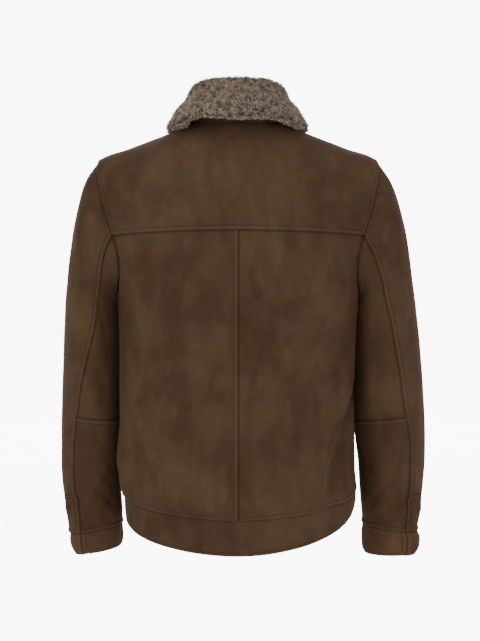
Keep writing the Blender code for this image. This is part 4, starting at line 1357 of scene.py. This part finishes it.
@dataclass
class TorsoPanels:
    """The yoke, the back, the fronts, the strip on the left front and the waistband."""

    body: BodyForm
    tailor: Tailor
    pitch: float = 0.0055
    edge_reach: float = 0.021
    strip_reach: float = 0.023
    strip_ease: float = 0.0002        # air between the left front and its strip
    gap_angle: float = 0.05

    def lower_drops(self) -> np.ndarray:
        """Drops from the underarm to the waistband seam."""
        start, end = self.body.underarm_drop, self.body.band_drop
        return start + (end - start) * spaced(end - start, self.pitch)[9:]

    def back(self, side: Side) -> None:
        """One half of the back. The left half laps over the right at the centre."""
        turns = np.linspace(self.body.yoke_turn, 0, 42)
        angle, drop = self.body.armhole(turns)
        near = self.body.yoke_drop + np.array((SEAM_GAP, 0.001, 0.002, 0.0035))
        drops = np.concatenate((near, drop[1:], self.lower_drops()))
        drops = np.unique(np.round(np.sort(drops), 6))
        edges = np.where(drops <= self.body.underarm_drop,
                         np.interp(drops, drop, angle), self.body.side_angle)
        share = spaced(0.20, self.pitch)[None, :]
        start = self.gap_angle
        angles = start + (edges[:, None] - self.gap_angle - start) * share
        points, normals = self.body.surface(side.value * angles, drops[:, None])
        centre = DOUBLE_LAP if side is Side.LEFT else UNDER
        self.tailor.make(Cloth(f"back_{side.label}", points, normals, {
            Edge.FIRST_ROW: UNDER, Edge.LAST_ROW: TOP_LAP, Edge.FIRST_COLUMN: centre,
            Edge.LAST_COLUMN: SIDE}, seed=11 + side.value), "torso_stitches", ("yoke",))

    def yoke(self) -> None:
        """The yoke over the back and both shoulders."""
        corner = float(self.body.armhole(self.body.yoke_turn)[0])
        flat = np.linspace(0, corner, 36)
        turns = np.linspace(self.body.yoke_turn, self.body.shoulder_turn, 40)
        over_angle, over_drop = self.body.armhole(turns)
        half_angles = np.concatenate((flat, over_angle[1:]))
        half_drops = np.concatenate((np.full(len(flat), self.body.yoke_drop), over_drop[1:]))
        angle = np.concatenate((-half_angles[:0:-1], half_angles))
        drop = np.concatenate((half_drops[:0:-1], half_drops))
        rows = spaced(0.18, self.pitch)[:, None]
        drops = drop[None, :] * (1 - rows)
        lean = self.body.shoulder_angle(drops) / self.body.shoulder_angle(over_drop[-1])
        near_seam = ramp(np.abs(angle), corner, over_angle[-1])[None, :]
        angles = angle[None, :] * (1 + (lean - 1) * near_seam)
        points, normals = self.body.surface(angles, drops)
        self.tailor.make(Cloth("yoke", points, normals, {
            Edge.FIRST_ROW: TOP_LAP, Edge.LAST_ROW: UNDER, Edge.FIRST_COLUMN: TOP_LAP,
            Edge.LAST_COLUMN: TOP_LAP}, seed=21), "torso_stitches", ("back_left",))

    def front_grid(self) -> tuple[np.ndarray, np.ndarray, int]:
        """Angles and drops of a front, and the columns that lie under the strip."""
        turns = np.linspace(self.body.shoulder_turn, 360, 56)
        angle, drop = self.body.armhole(turns)
        shoulder = drop[0] * np.linspace(0, 1, 20)[:-1]
        drops = np.concatenate((shoulder, drop, self.lower_drops()[1:]))
        starts = np.concatenate((self.body.shoulder_angle(shoulder), angle,
                                 [self.body.side_angle] * (len(self.lower_drops()) - 1)))
        starts = starts + self.gap_angle
        stop = self.body.angle_at(self.strip_reach, drops)
        edge = self.body.angle_at(-self.edge_reach, drops)
        share = spaced(0.18, self.pitch)
        main = starts[:, None] + (stop - starts)[:, None] * share[None, :]
        flap_share = spaced(0.044, self.pitch)
        flap = stop[:, None] + (edge - stop)[:, None] * flap_share[None, 1:]
        return np.concatenate((main, flap), axis=1), drops, len(flap_share)

    def front(self, side: Side) -> None:
        """One front, from the side seam to its edge."""
        angles, drops, _ = self.front_grid()
        signed = side.value * angles
        points, normals = self.body.surface(signed, drops[:, None],
                                            out=self.body.underlap(signed, drops[:, None]))
        self.tailor.make(Cloth(f"front_{side.label}", points, normals, {
            Edge.FIRST_ROW: UNDER, Edge.LAST_ROW: TOP_LAP, Edge.FIRST_COLUMN: TOP_LAP,
            Edge.LAST_COLUMN: FRONT_EDGE}, seed=31 + side.value), "torso_stitches",
            (f"back_{side.label}",))

    def strip(self) -> None:
        """The strip along the left front's edge, which carries the buttons."""
        angles, drops, count = self.front_grid()
        points, normals = self.body.surface(angles[:, -count:], drops[:, None],
                                            out=STRIP_RISE + self.strip_ease)
        self.tailor.make(Cloth("front_strip", points, normals, {
            Edge.FIRST_COLUMN: STRIP_EDGE, Edge.LAST_COLUMN: STRIP_EDGE}, seed=41,
            **STRIP_CUT), "torso_stitches", ("front_left",),
            inside=self.tailor.finishes.suede)

    def waistband(self) -> None:
        """The waistband, once round, its left end over its right."""
        start, end = self.body.band_drop, self.body.hem_drop
        drops = start + SEAM_GAP + (end - start) * spaced(end - start, 0.0045)
        drops[-1] = end
        half = np.linspace(0, self.body.side_angle, 64)
        stop = float(self.body.angle_at(-self.edge_reach, np.array(self.body.band_middle_drop)))
        front = np.concatenate((np.linspace(self.body.side_angle, stop - 3.2, 58)[1:],
                                stop - np.array((2.4, 1.6, 1.0, 0.6, 0.3, 0.0))))
        angle = np.concatenate((-front[::-1], -half[:0:-1], half, front))
        angles = angle[None, :] + 0 * drops[:, None]
        points, normals = self.body.surface(angles, drops[:, None],
                                            out=self.body.underlap(angles, drops[:, None]))
        self.tailor.make(Cloth("waistband", points, normals, {
            Edge.FIRST_ROW: UNDER, Edge.LAST_ROW: FOLDED, Edge.FIRST_COLUMN: FRONT_EDGE,
            Edge.LAST_COLUMN: FRONT_EDGE}, swell=0.0012, seed=51), "torso_stitches",
            ("back_left", "back_right"))

    def build(self) -> None:
        """Build every panel of the torso."""
        self.yoke()
        for side in Side:
            self.back(side)
            self.front(side)
        self.strip()
        self.waistband()


@dataclass
class SleevePanels:
    """A sleeve's top, its under sleeve, the strip beside the vent, and its cuff."""

    form: SleeveForm
    tailor: Tailor
    elbow_run: float = 0.350
    vent_run: float = 0.482
    cuff_run: float = 0.548
    cuff_end: float = 0.592
    half_gap: float = 0.011
    pitch: float = 0.0055
    fine_pitch: float = 0.004         # rows on the vent's strip and the cuff
    cuff_gap: float = 0.0002          # between the sleeve's end and the cuff's seam
    vent_gap: float = 0.0005          # between the vent's strip and the cuff's seam
    cuff_lift: float = 0.0036         # how far the cuff's lap lies above its other end

    @property
    def label(self) -> str:
        """The side's name."""
        return self.form.side.label

    @property
    def group(self) -> str:
        """The piece of stitching that the sleeve's stitches belong to."""
        return f"sleeve_{self.label}_stitches"

    def panel(self, name: str, columns: np.ndarray, runs: np.ndarray,
              seams: dict[Edge, Seam], out: float | np.ndarray = 0.0, **more: object) -> Cloth:
        """A panel on the sleeve's form."""
        points, normals = self.form.surface(columns[None, :], runs[:, None], out=out)
        return Cloth(name, points, normals, seams, **more)

    def top(self) -> None:
        """The top sleeve, whose back seam laps over the under sleeve."""
        first = self.form.back_steps + self.half_gap
        last = self.form.back_steps + self.form.top_steps - self.half_gap
        columns = first + (last - first) * spaced(0.17, self.pitch)
        runs = (self.cuff_run - self.cuff_gap) * spaced(self.cuff_run, self.pitch)
        self.tailor.make(self.panel(f"sleeve_top_{self.label}", columns, runs, {
            Edge.FIRST_ROW: ARMHOLE, Edge.LAST_ROW: TOP_LAP, Edge.FIRST_COLUMN: TOP_LAP,
            Edge.LAST_COLUMN: TOP_LAP}, seed=61), self.group, ("yoke",))

    def under(self) -> None:
        """The under sleeve above and below the elbow seam."""
        first = self.form.back_steps + self.form.top_steps + self.half_gap
        last = self.form.steps + self.form.back_steps - self.half_gap
        columns = first + (last - first) * spaced(0.15, self.pitch)
        upper = (self.elbow_run - SEAM_GAP) * spaced(self.elbow_run, self.pitch)
        low = self.elbow_run + SEAM_GAP
        span = self.cuff_run - self.cuff_gap - low
        lower = low + span * spaced(self.cuff_run - low, self.pitch)
        self.tailor.make(self.panel(f"sleeve_upper_{self.label}", columns, upper, {
            Edge.FIRST_ROW: ARMHOLE, Edge.LAST_ROW: UNDER, Edge.FIRST_COLUMN: UNDER,
            Edge.LAST_COLUMN: UNDER}, seed=71), self.group, (f"back_{self.label}",))
        self.tailor.make(self.panel(f"sleeve_lower_{self.label}", columns, lower, {
            Edge.FIRST_ROW: TOP_LAP, Edge.LAST_ROW: TOP_LAP, Edge.FIRST_COLUMN: UNDER,
            Edge.LAST_COLUMN: UNDER}, seed=81), self.group, (f"sleeve_top_{self.label}",))

    def vent(self) -> None:
        """The strip on the top sleeve beside the vent."""
        first = self.form.back_steps + self.half_gap
        columns = first + (self.form.back_steps + 2 - first) * spaced(0.026, self.fine_pitch)
        span = self.cuff_run - self.vent_gap - self.vent_run
        runs = self.vent_run + span * spaced(span, self.fine_pitch)
        self.tailor.make(self.panel(f"vent_{self.label}", columns, runs, {
            Edge.FIRST_ROW: STRIP_EDGE, Edge.LAST_ROW: UNDER, Edge.FIRST_COLUMN: STRIP_EDGE,
            Edge.LAST_COLUMN: STRIP_EDGE}, out=STRIP_RISE, seed=91, **STRIP_CUT), self.group,
            (f"sleeve_top_{self.label}",), inside=self.tailor.finishes.suede)

    def cuff(self) -> None:
        """The cuff, once round from the vent, its first end over its last."""
        span = self.cuff_end - self.cuff_run
        runs = self.cuff_run + SEAM_GAP + (span - SEAM_GAP) * spaced(span, self.fine_pitch)
        steps = np.concatenate(([0, 0.1, 0.25, 0.5, 0.8, 1.2, 1.6, 1.85, 2.0, 2.15, 2.4],
                                np.linspace(2.8, self.form.steps + 1.5, 96),
                                self.form.steps + np.array((1.75, 1.9, 2.0))))
        lift = self.cuff_lift * (1 - ramp(steps, 2.0, 2.8))
        # the cuff wears the lighter copy of the suede, painted light
        self.tailor.make(self.panel(f"cuff_{self.label}", self.form.back_steps + steps, runs, {
            Edge.FIRST_ROW: CUFF_TOP, Edge.LAST_ROW: CUFF_END, Edge.FIRST_COLUMN: TURNED,
            Edge.LAST_COLUMN: UNDER}, out=lift[None, :], swell=0.0010, seed=95), self.group,
            (f"sleeve_top_{self.label}",), outside=self.tailor.finishes.cuff_suede)

    def build(self) -> None:
        """Build the sleeve's panels."""
        self.top()
        self.under()
        self.vent()
        self.cuff()


@dataclass
class Collar:
    """The shearling collar: one folded hide with its curls, stand inside and fall outside."""

    body: BodyForm
    finishes: Finishes
    rows: Columns = Columns(
        "angle edge_angle edge_drop stand_off roll_height",
        ((0, 0, 0.028, 0.0310, 0.0735), (30, 30, 0.027, 0.0280, 0.0725),
         (60, 60, 0.025, 0.0190, 0.067), (90, 88, 0.024, 0.0130, 0.055),
         (125, 112, 0.030, 0.0120, 0.042), (145, 128, 0.045, 0.0112, 0.034),
         (161, 144, 0.066, 0.0112, 0.028)))
    end_angle: float = 161.0
    roll: float = 0.0135
    inset: float = 0.008
    stations: int = 190
    section_steps: int = 56
    pile: float = 0.0034              # height of the curls above the hide's lumps
    hide: float = 0.0048              # thickness of the hide with its matted roots
    spacing: float = 0.0028
    seam_dip: float = 0.0030          # how far the stand reaches down past the neck seam
    middle_lift: float = 0.0140       # how far the fall's edge rises at the centre back
    side_sag: float = 0.0042          # and how far it hangs down over the shoulders

    def section(self, angle: float) -> np.ndarray:
        """Points of the pile's face at one place round the neck, seam to lower edge."""
        size = abs(angle)
        edge_angle = math.copysign(float(self.rows.read("edge_angle", size)), angle)
        height = float(self.rows.read("roll_height", size))
        seam = self.body.base(angle, 0.0)
        out = self.body.base(angle, 0.001) - seam
        out[2] = 0.0
        out = unit(out)
        up = np.array((0.0, 0.0, 1.0))
        edge_drop = self.rows.read("edge_drop", size)
        stand_off = self.rows.read("stand_off", size)
        facing = self.body.normal(edge_angle, edge_drop)
        edge = self.body.base(edge_angle, edge_drop) + facing * stand_off
        shoulder = seam + out * self.roll + up * (height - self.roll)
        inside = self.inset + 0.35 * self.roll
        stand = min(float(stand_off), 0.016)
        middle = self.middle_lift * (1 - ramp(size, 28 if angle > 0 else 14, 54))
        sides = self.side_sag * ramp(size, 38, 62) * (1 - ramp(size, 108, 138))
        turn = 1 - 0.75 * ramp(size, 96, 130)
        edge = edge + up * (middle - sides) - facing * 0.0012
        way = edge - shoulder
        full = 0.0010 if angle > 0 else -0.0020
        bulge = out * full * ramp(size, 35, 75) * (1 - ramp(size, 110, 145))
        return np.array([seam - out * self.inset - up * self.seam_dip,
                         seam - out * inside + up * (0.45 * (height - self.roll)),
                         seam - out * self.roll + up * (height - self.roll),
                         seam - out * (0.7 * self.roll) + up * (height - 0.3 * self.roll),
                         seam + up * height,
                         seam + out * (0.7 * self.roll) + up * (height - 0.3 * self.roll),
                         shoulder + way * 0.12 + bulge * 0.5,
                         shoulder + way * 0.40 + out * 0.004 + bulge,
                         shoulder + way * 0.72 + out * 0.003 + bulge * 0.6, edge,
                         edge - turn * (out * 0.005 + facing * (0.24 * stand)),
                         edge - turn * (out * 0.014 + facing * (0.30 * stand))])

    def smooth_section(self, angle: float) -> np.ndarray:
        """The section's points on a smooth curve, evenly spaced."""
        corners = self.section(angle)
        steps = np.linalg.norm(np.diff(corners, axis=0), axis=1)
        places = np.concatenate(([0.0], np.cumsum(steps)))
        at = np.linspace(0, places[-1], self.section_steps + 1)
        table = Columns("at x y z", tuple(map(tuple, np.column_stack((places, corners)))))
        return np.column_stack([table.read(name, at) for name in "xyz"])

    def cloth(self) -> Cloth:
        """The hide, its face set back under the curls and lumped."""
        angles = np.linspace(-self.end_angle, self.end_angle, self.stations + 1)
        face = np.array([self.smooth_section(angle) for angle in angles])
        along, down = np.gradient(face, axis=0), np.gradient(face, axis=1)
        normals = unit(np.cross(along, down))
        normals[:, 0, 2] = 0.0
        normals[:, 0] = unit(normals[:, 0])
        place = np.linspace(0, 1, self.section_steps + 1)[None, :]
        lumps = (0.0008 + 0.0016 * ramp(place, 0.58, 0.85)) * ripple(face, 0.0085, 3)
        lumps = lumps + 0.0012 * ripple(face, 0.030, 4)
        ends = np.minimum(place, 1 - place) * 0.13
        sides = np.minimum(np.arange(len(face)), np.arange(len(face))[::-1])[:, None] * 0.0022
        edge = 1 - ramp(np.minimum(ends, sides), 0.0, 0.007)
        set_back = self.pile - lumps + 0.0016 * edge
        return Cloth("collar", face - normals * set_back[..., None], normals, {},
                     thickness=self.hide, swell=0.0)

    def tufts(self) -> bpy.types.Collection:
        """The tufts to plant, of four curls each."""
        chance = np.random.default_rng(12)
        shelf = bpy.data.collections.new("tufts")
        for number in range(TUFTS):
            curls = []
            for _ in range(4):
                turns = chance.uniform(0.55, 1.0) * chance.choice((-1, 1))
                radius = chance.uniform(0.0010, 0.0017)
                tall = chance.uniform(0.0036, 0.0054)
                begin = chance.uniform(0, 2 * math.pi)
                root = chance.uniform(-0.0011, 0.0011, 2)
                t = np.linspace(0, 1, 5)
                swirl = begin + turns * 2 * math.pi * t
                path = np.column_stack((
                    root[0] + radius * (np.cos(swirl) - math.cos(begin)) * (0.4 + 0.6 * t),
                    root[1] + radius * (np.sin(swirl) - math.sin(begin)) * (0.4 + 0.6 * t),
                    tall * t ** 0.85 - 0.0008))
                radii = 0.00062 * np.array((0.9, 1.0, 0.95, 0.75, 0.35))
                curls.append(tube_mesh(f"curl_{number}", path, radii, 3))
            hidden_object(f"tuft_{number}", joined_mesh(f"tuft_{number}", curls), shelf)
        return shelf

    def patch(self, cloth: Cloth, name: str, start: int, end: int,
              long: np.ndarray) -> bpy.types.Object:
        """The part of the hide's face between two rows of its section, to plant on."""
        face = cloth.points[:, start:end + 1]
        quads = grid_quads(*face.shape[:2])
        if turned_inward(face, cloth.normals[:, start:end + 1]):
            quads = quads[:, ::-1]
        mesh = bpy.data.meshes.new(name)
        mesh.from_pydata(face.reshape(-1, 3).tolist(), [], quads.tolist())
        layer = mesh.attributes.new("long", "FLOAT", "POINT")
        layer.data.foreach_set("value", long[:, start:end + 1].reshape(-1).astype(np.float32))
        return placed(name, mesh)

    def build(self) -> None:
        """Build the hide and plant its pile on the stand and on the fall."""
        cloth = self.cloth()
        cloth.build(self.finishes.fleece, self.finishes.suede)
        cloth.item.name = "collar_hide"
        width, length, area = cloth.flat_size()
        declare(cloth.item, "collar")
        place = np.linspace(0, 1, self.section_steps + 1)[None, :]
        long = 0.66 + 0.46 * ramp(place, 0.58, 0.80) + 0 * cloth.points[..., 0]
        shelf, tree = self.tufts(), pile_tree()
        cuts = [int(self.section_steps * share) for share in (0, 0.40, 0.71, 1)]
        for name, start, end, seed in (("collar_stand_pile", cuts[0], cuts[1], 3),
                                       ("collar_fall_pile", cuts[1], cuts[2], 8),
                                       ("collar_edge_pile", cuts[2], cuts[3], 5)):
            source = self.patch(cloth, name + "_skin", start, end, long)
            item = grow(name, source, tree, {
                "Spacing": self.spacing, "Smallest": 0.85, "Largest": 1.2, "Lean": 0.5,
                "Seed": seed, "Tufts": shelf, "Wool": self.finishes.curls})
            declare(item, None)
        LOG.info("collar: cut %.3f x %.3f m, %.4f square metres", width, length, area)


@dataclass
class Buttons:
    """Turned horn buttons with four holes, down the front and on the waistband."""

    body: BodyForm
    finishes: Finishes
    radius: float = 0.011
    height: float = 0.0042
    drops: tuple[float, ...] = (0.048, 0.138, 0.2815, 0.3853, 0.4859, 0.5827)
    sides: int = 48
    hole_radius: float = 0.00095
    hole_reach: float = 0.0023
    strip_seat: float = 0.0029        # how far the buttons' seats lie above the body's form
    band_seat: float = 0.0006

    def turned(self) -> bpy.types.Mesh:
        """One button with its holes cut."""
        radius, height = self.radius, self.height
        profile = ((0.0, 0.66), (0.35, 0.66), (0.52, 0.70), (0.62, 0.80), (0.70, 0.96),
                   (0.78, 1.0), (0.88, 0.97), (0.95, 0.86), (1.0, 0.60), (0.98, 0.34),
                   (0.90, 0.08), (0.80, 0.0), (0.0, 0.0))
        outline = bmesh.new()
        points = [outline.verts.new((x * radius, 0.0, z * height)) for x, z in profile]
        for first, second in zip(points, points[1:]):
            outline.edges.new((first, second))
        bmesh.ops.spin(outline, geom=outline.edges[:] + outline.verts[:], cent=(0, 0, 0),
                       axis=(0, 0, 1), angle=2 * math.pi, steps=self.sides,
                       use_duplicate=False)
        bmesh.ops.remove_doubles(outline, verts=outline.verts, dist=1e-6)
        bmesh.ops.recalc_face_normals(outline, faces=outline.faces)
        mesh = bpy.data.meshes.new("turned_button")
        outline.to_mesh(mesh)
        outline.free()
        item = placed("turned_button", mesh)
        drills = bmesh.new()
        for k in range(4):
            angle = math.pi / 4 + k * math.pi / 2
            place = Matrix.Translation((math.cos(angle) * self.hole_reach,
                                        math.sin(angle) * self.hole_reach, 0.5 * height))
            bmesh.ops.create_cone(drills, cap_ends=True, segments=16,
                                  radius1=self.hole_radius, radius2=self.hole_radius,
                                  depth=3 * height, matrix=place)
        cutter_mesh = bpy.data.meshes.new("drills")
        drills.to_mesh(cutter_mesh)
        drills.free()
        cutter = placed("drills", cutter_mesh)
        cut = item.modifiers.new("holes", "BOOLEAN")
        cut.object = cutter
        cut.operation = "DIFFERENCE"
        ready = item.evaluated_get(bpy.context.evaluated_depsgraph_get())
        result = bpy.data.meshes.new_from_object(ready)
        for spare in (item, cutter):
            bpy.data.objects.remove(spare, do_unlink=True)
        result.shade_smooth()
        result.set_sharp_from_angle(angle=math.radians(40))
        return result

    def threads(self) -> bpy.types.Mesh:
        """The thread that crosses from hole to hole."""
        reach = self.hole_reach * 0.72
        low, high = 0.55 * self.height, 0.80 * self.height
        strands = []
        for k in range(2):
            for offset in (-0.00022, 0.00022):
                angle = math.pi / 4 + k * math.pi / 2
                way = np.array((math.cos(angle), math.sin(angle), 0.0))
                side = np.array((-way[1], way[0], 0.0)) * offset
                path = np.array([side + way * reach * s * 1.36
                                 + np.array((0, 0, low + (high - low) * lift + 0.0002 * k))
                                 for s, lift in ((-1, 0), (-0.86, 0.8), (0, 1), (0.86, 0.8),
                                                 (1, 0))])
                strands.append(tube_mesh("strand", path, np.full(5, 0.00028), 6))
        return joined_mesh("button_thread", strands)

    def place(self, name: str, node: str | None, mesh: bpy.types.Mesh,
              finish: bpy.types.Material, seat: tuple[np.ndarray, np.ndarray]) -> None:
        """Put a copy of a mesh on its seat, with its place in its mesh."""
        point, normal = seat
        turn = Vector((0, 0, 1)).rotation_difference(Vector(normal)).to_matrix().to_4x4()
        copy = mesh.copy()
        copy.name = name
        copy.transform(Matrix.Translation(Vector(point)) @ turn)
        copy.materials.clear()
        copy.materials.append(finish)
        declare(placed(name, copy), node)

    def build(self) -> None:
        """Build every button on its seat."""
        disc, thread = self.turned(), self.threads()
        seats = {f"button_front_{i}": (drop, self.strip_seat)
                 for i, drop in enumerate(self.drops, start=1)}
        seats["button_waistband"] = (self.body.band_middle_drop, self.band_seat)
        for node, (drop, out) in seats.items():
            seat = self.body.surface(np.array(180.0), np.array(drop), out=out)
            self.place(f"{node}_disc", node, disc, self.finishes.horn, seat)
            self.place(f"{node}_thread", None, thread, self.finishes.thread, seat)


# --------------------------------------------------------------------------------- stage
@dataclass
class Studio:
    """The camera at the photograph's angle, a pale floor and soft light."""

    focal_pixels: float = 1375.0
    target: tuple[float, float, float] = (-0.0032, 0.0, -0.335)
    distance: float = 2.3339
    tilt: float = 3.309
    floor_height: float = -0.90
    white: float = 9.0                # how bright the paper looks to the camera
    ambient: float = 0.85             # light from all round

    def camera(self) -> None:
        """Set the camera behind the jacket, looking slightly down."""
        data = bpy.data.cameras.new("camera")
        data.sensor_width = 36.0
        data.lens = 36.0 * self.focal_pixels / FRAME_SIZE[1]
        item = placed("camera", data)
        tilt = math.radians(self.tilt)
        back = Vector((0.0, math.cos(tilt), math.sin(tilt)))
        item.location = Vector(self.target) + back * self.distance
        item.rotation_euler = (-back).to_track_quat("-Z", "Y").to_euler()
        bpy.context.scene.camera = item

    def floor(self) -> None:
        """A wide, flat, pale floor of paper under the jacket, reaching far behind it."""
        mesh = bpy.data.meshes.new("floor")
        size, height = 14.0, self.floor_height
        mesh.from_pydata([(-size, -size, height), (size, -size, height), (size, size, height),
                          (-size, size, height)], [], [(0, 1, 2, 3)])
        material, lay, shader = principled("paper")
        fleck = lay.noise(lay.place(), 3.0, 2.0)
        seen = lay.add("ShaderNodeLightPath").outputs["Is Camera Ray"]
        lay.feed(shader, {"Base Color": lay.mix(fleck, colour("f4f3f1"), colour("fbfaf9")),
                          "Roughness": 0.9, "Emission Color": (1.0, 1.0, 1.0, 1.0),
                          "Emission Strength": lay.math("MULTIPLY", seen, self.white - 0.8)})
        mesh.materials.append(material)
        item = placed("floor", mesh)
        item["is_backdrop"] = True

    def lamp(self, name: str, place: tuple[float, float, float], size: float, power: float,
             code: str = "ffffff") -> None:
        """A square soft light aimed at the jacket."""
        data = bpy.data.lights.new(name, "AREA")
        data.shape = "SQUARE"
        data.size = size
        data.energy = power
        data.color = colour(code)[:3]
        item = placed(name, data)
        item.location = place
        aim = Vector(self.target) - Vector(place)
        item.rotation_euler = aim.to_track_quat("-Z", "Y").to_euler()

    def build(self) -> None:
        """Set up the camera, the floor, the world and the lights."""
        self.camera()
        self.floor()
        world = bpy.data.worlds.new("studio")
        world.use_nodes = True
        lay = Nodes(world.node_tree)
        sky = world.node_tree.nodes["Background"]
        sky.inputs["Color"].default_value = (1.0, 1.0, 1.0, 1.0)
        seen = lay.add("ShaderNodeLightPath").outputs["Is Camera Ray"]
        strength = lay.math("ADD", lay.math("MULTIPLY", seen, self.white - self.ambient),
                            self.ambient)
        world.node_tree.links.new(strength, sky.inputs["Strength"])
        bpy.context.scene.world = world
        self.lamp("over", (0.5, 0.7, 2.2), 1.6, 24.0, "fffaf4")
        self.lamp("key", (2.2, 2.2, 0.7), 1.3, 28.0, "fffdf9")
        self.lamp("fill", (-2.4, 2.0, 0.0), 1.8, 23.0, "f8fbff")
        self.lamp("low", (0.3, 2.6, -0.75), 1.6, 22.0, "fffaf2")
        self.lamp("front", (0.0, -3.0, 0.8), 2.4, 65.0)


def write_sizes() -> None:
    """Bring the view layer up to date."""
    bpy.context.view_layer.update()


def main() -> None:
    """Load the frame, then build, dress and light the jacket."""
    logging.basicConfig(level=logging.INFO, format="%(message)s")
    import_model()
    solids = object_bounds()
    solids = (Vector(solids[0]), Vector(solids[1]))
    Studio().build()
    finishes = Finishes()
    tailor = Tailor(finishes)
    body = BodyForm()
    TorsoPanels(body, tailor).build()
    for side in Side:
        SleevePanels(SleeveForm(side, body), tailor).build()
    Collar(body, finishes).build()
    Buttons(body, finishes).build()
    stitching = Stitching(finishes)
    for name, lines in tailor.lines.items():
        stitching.sew(name, lines)
    write_sizes()


if __name__ == "__main__":
    main()
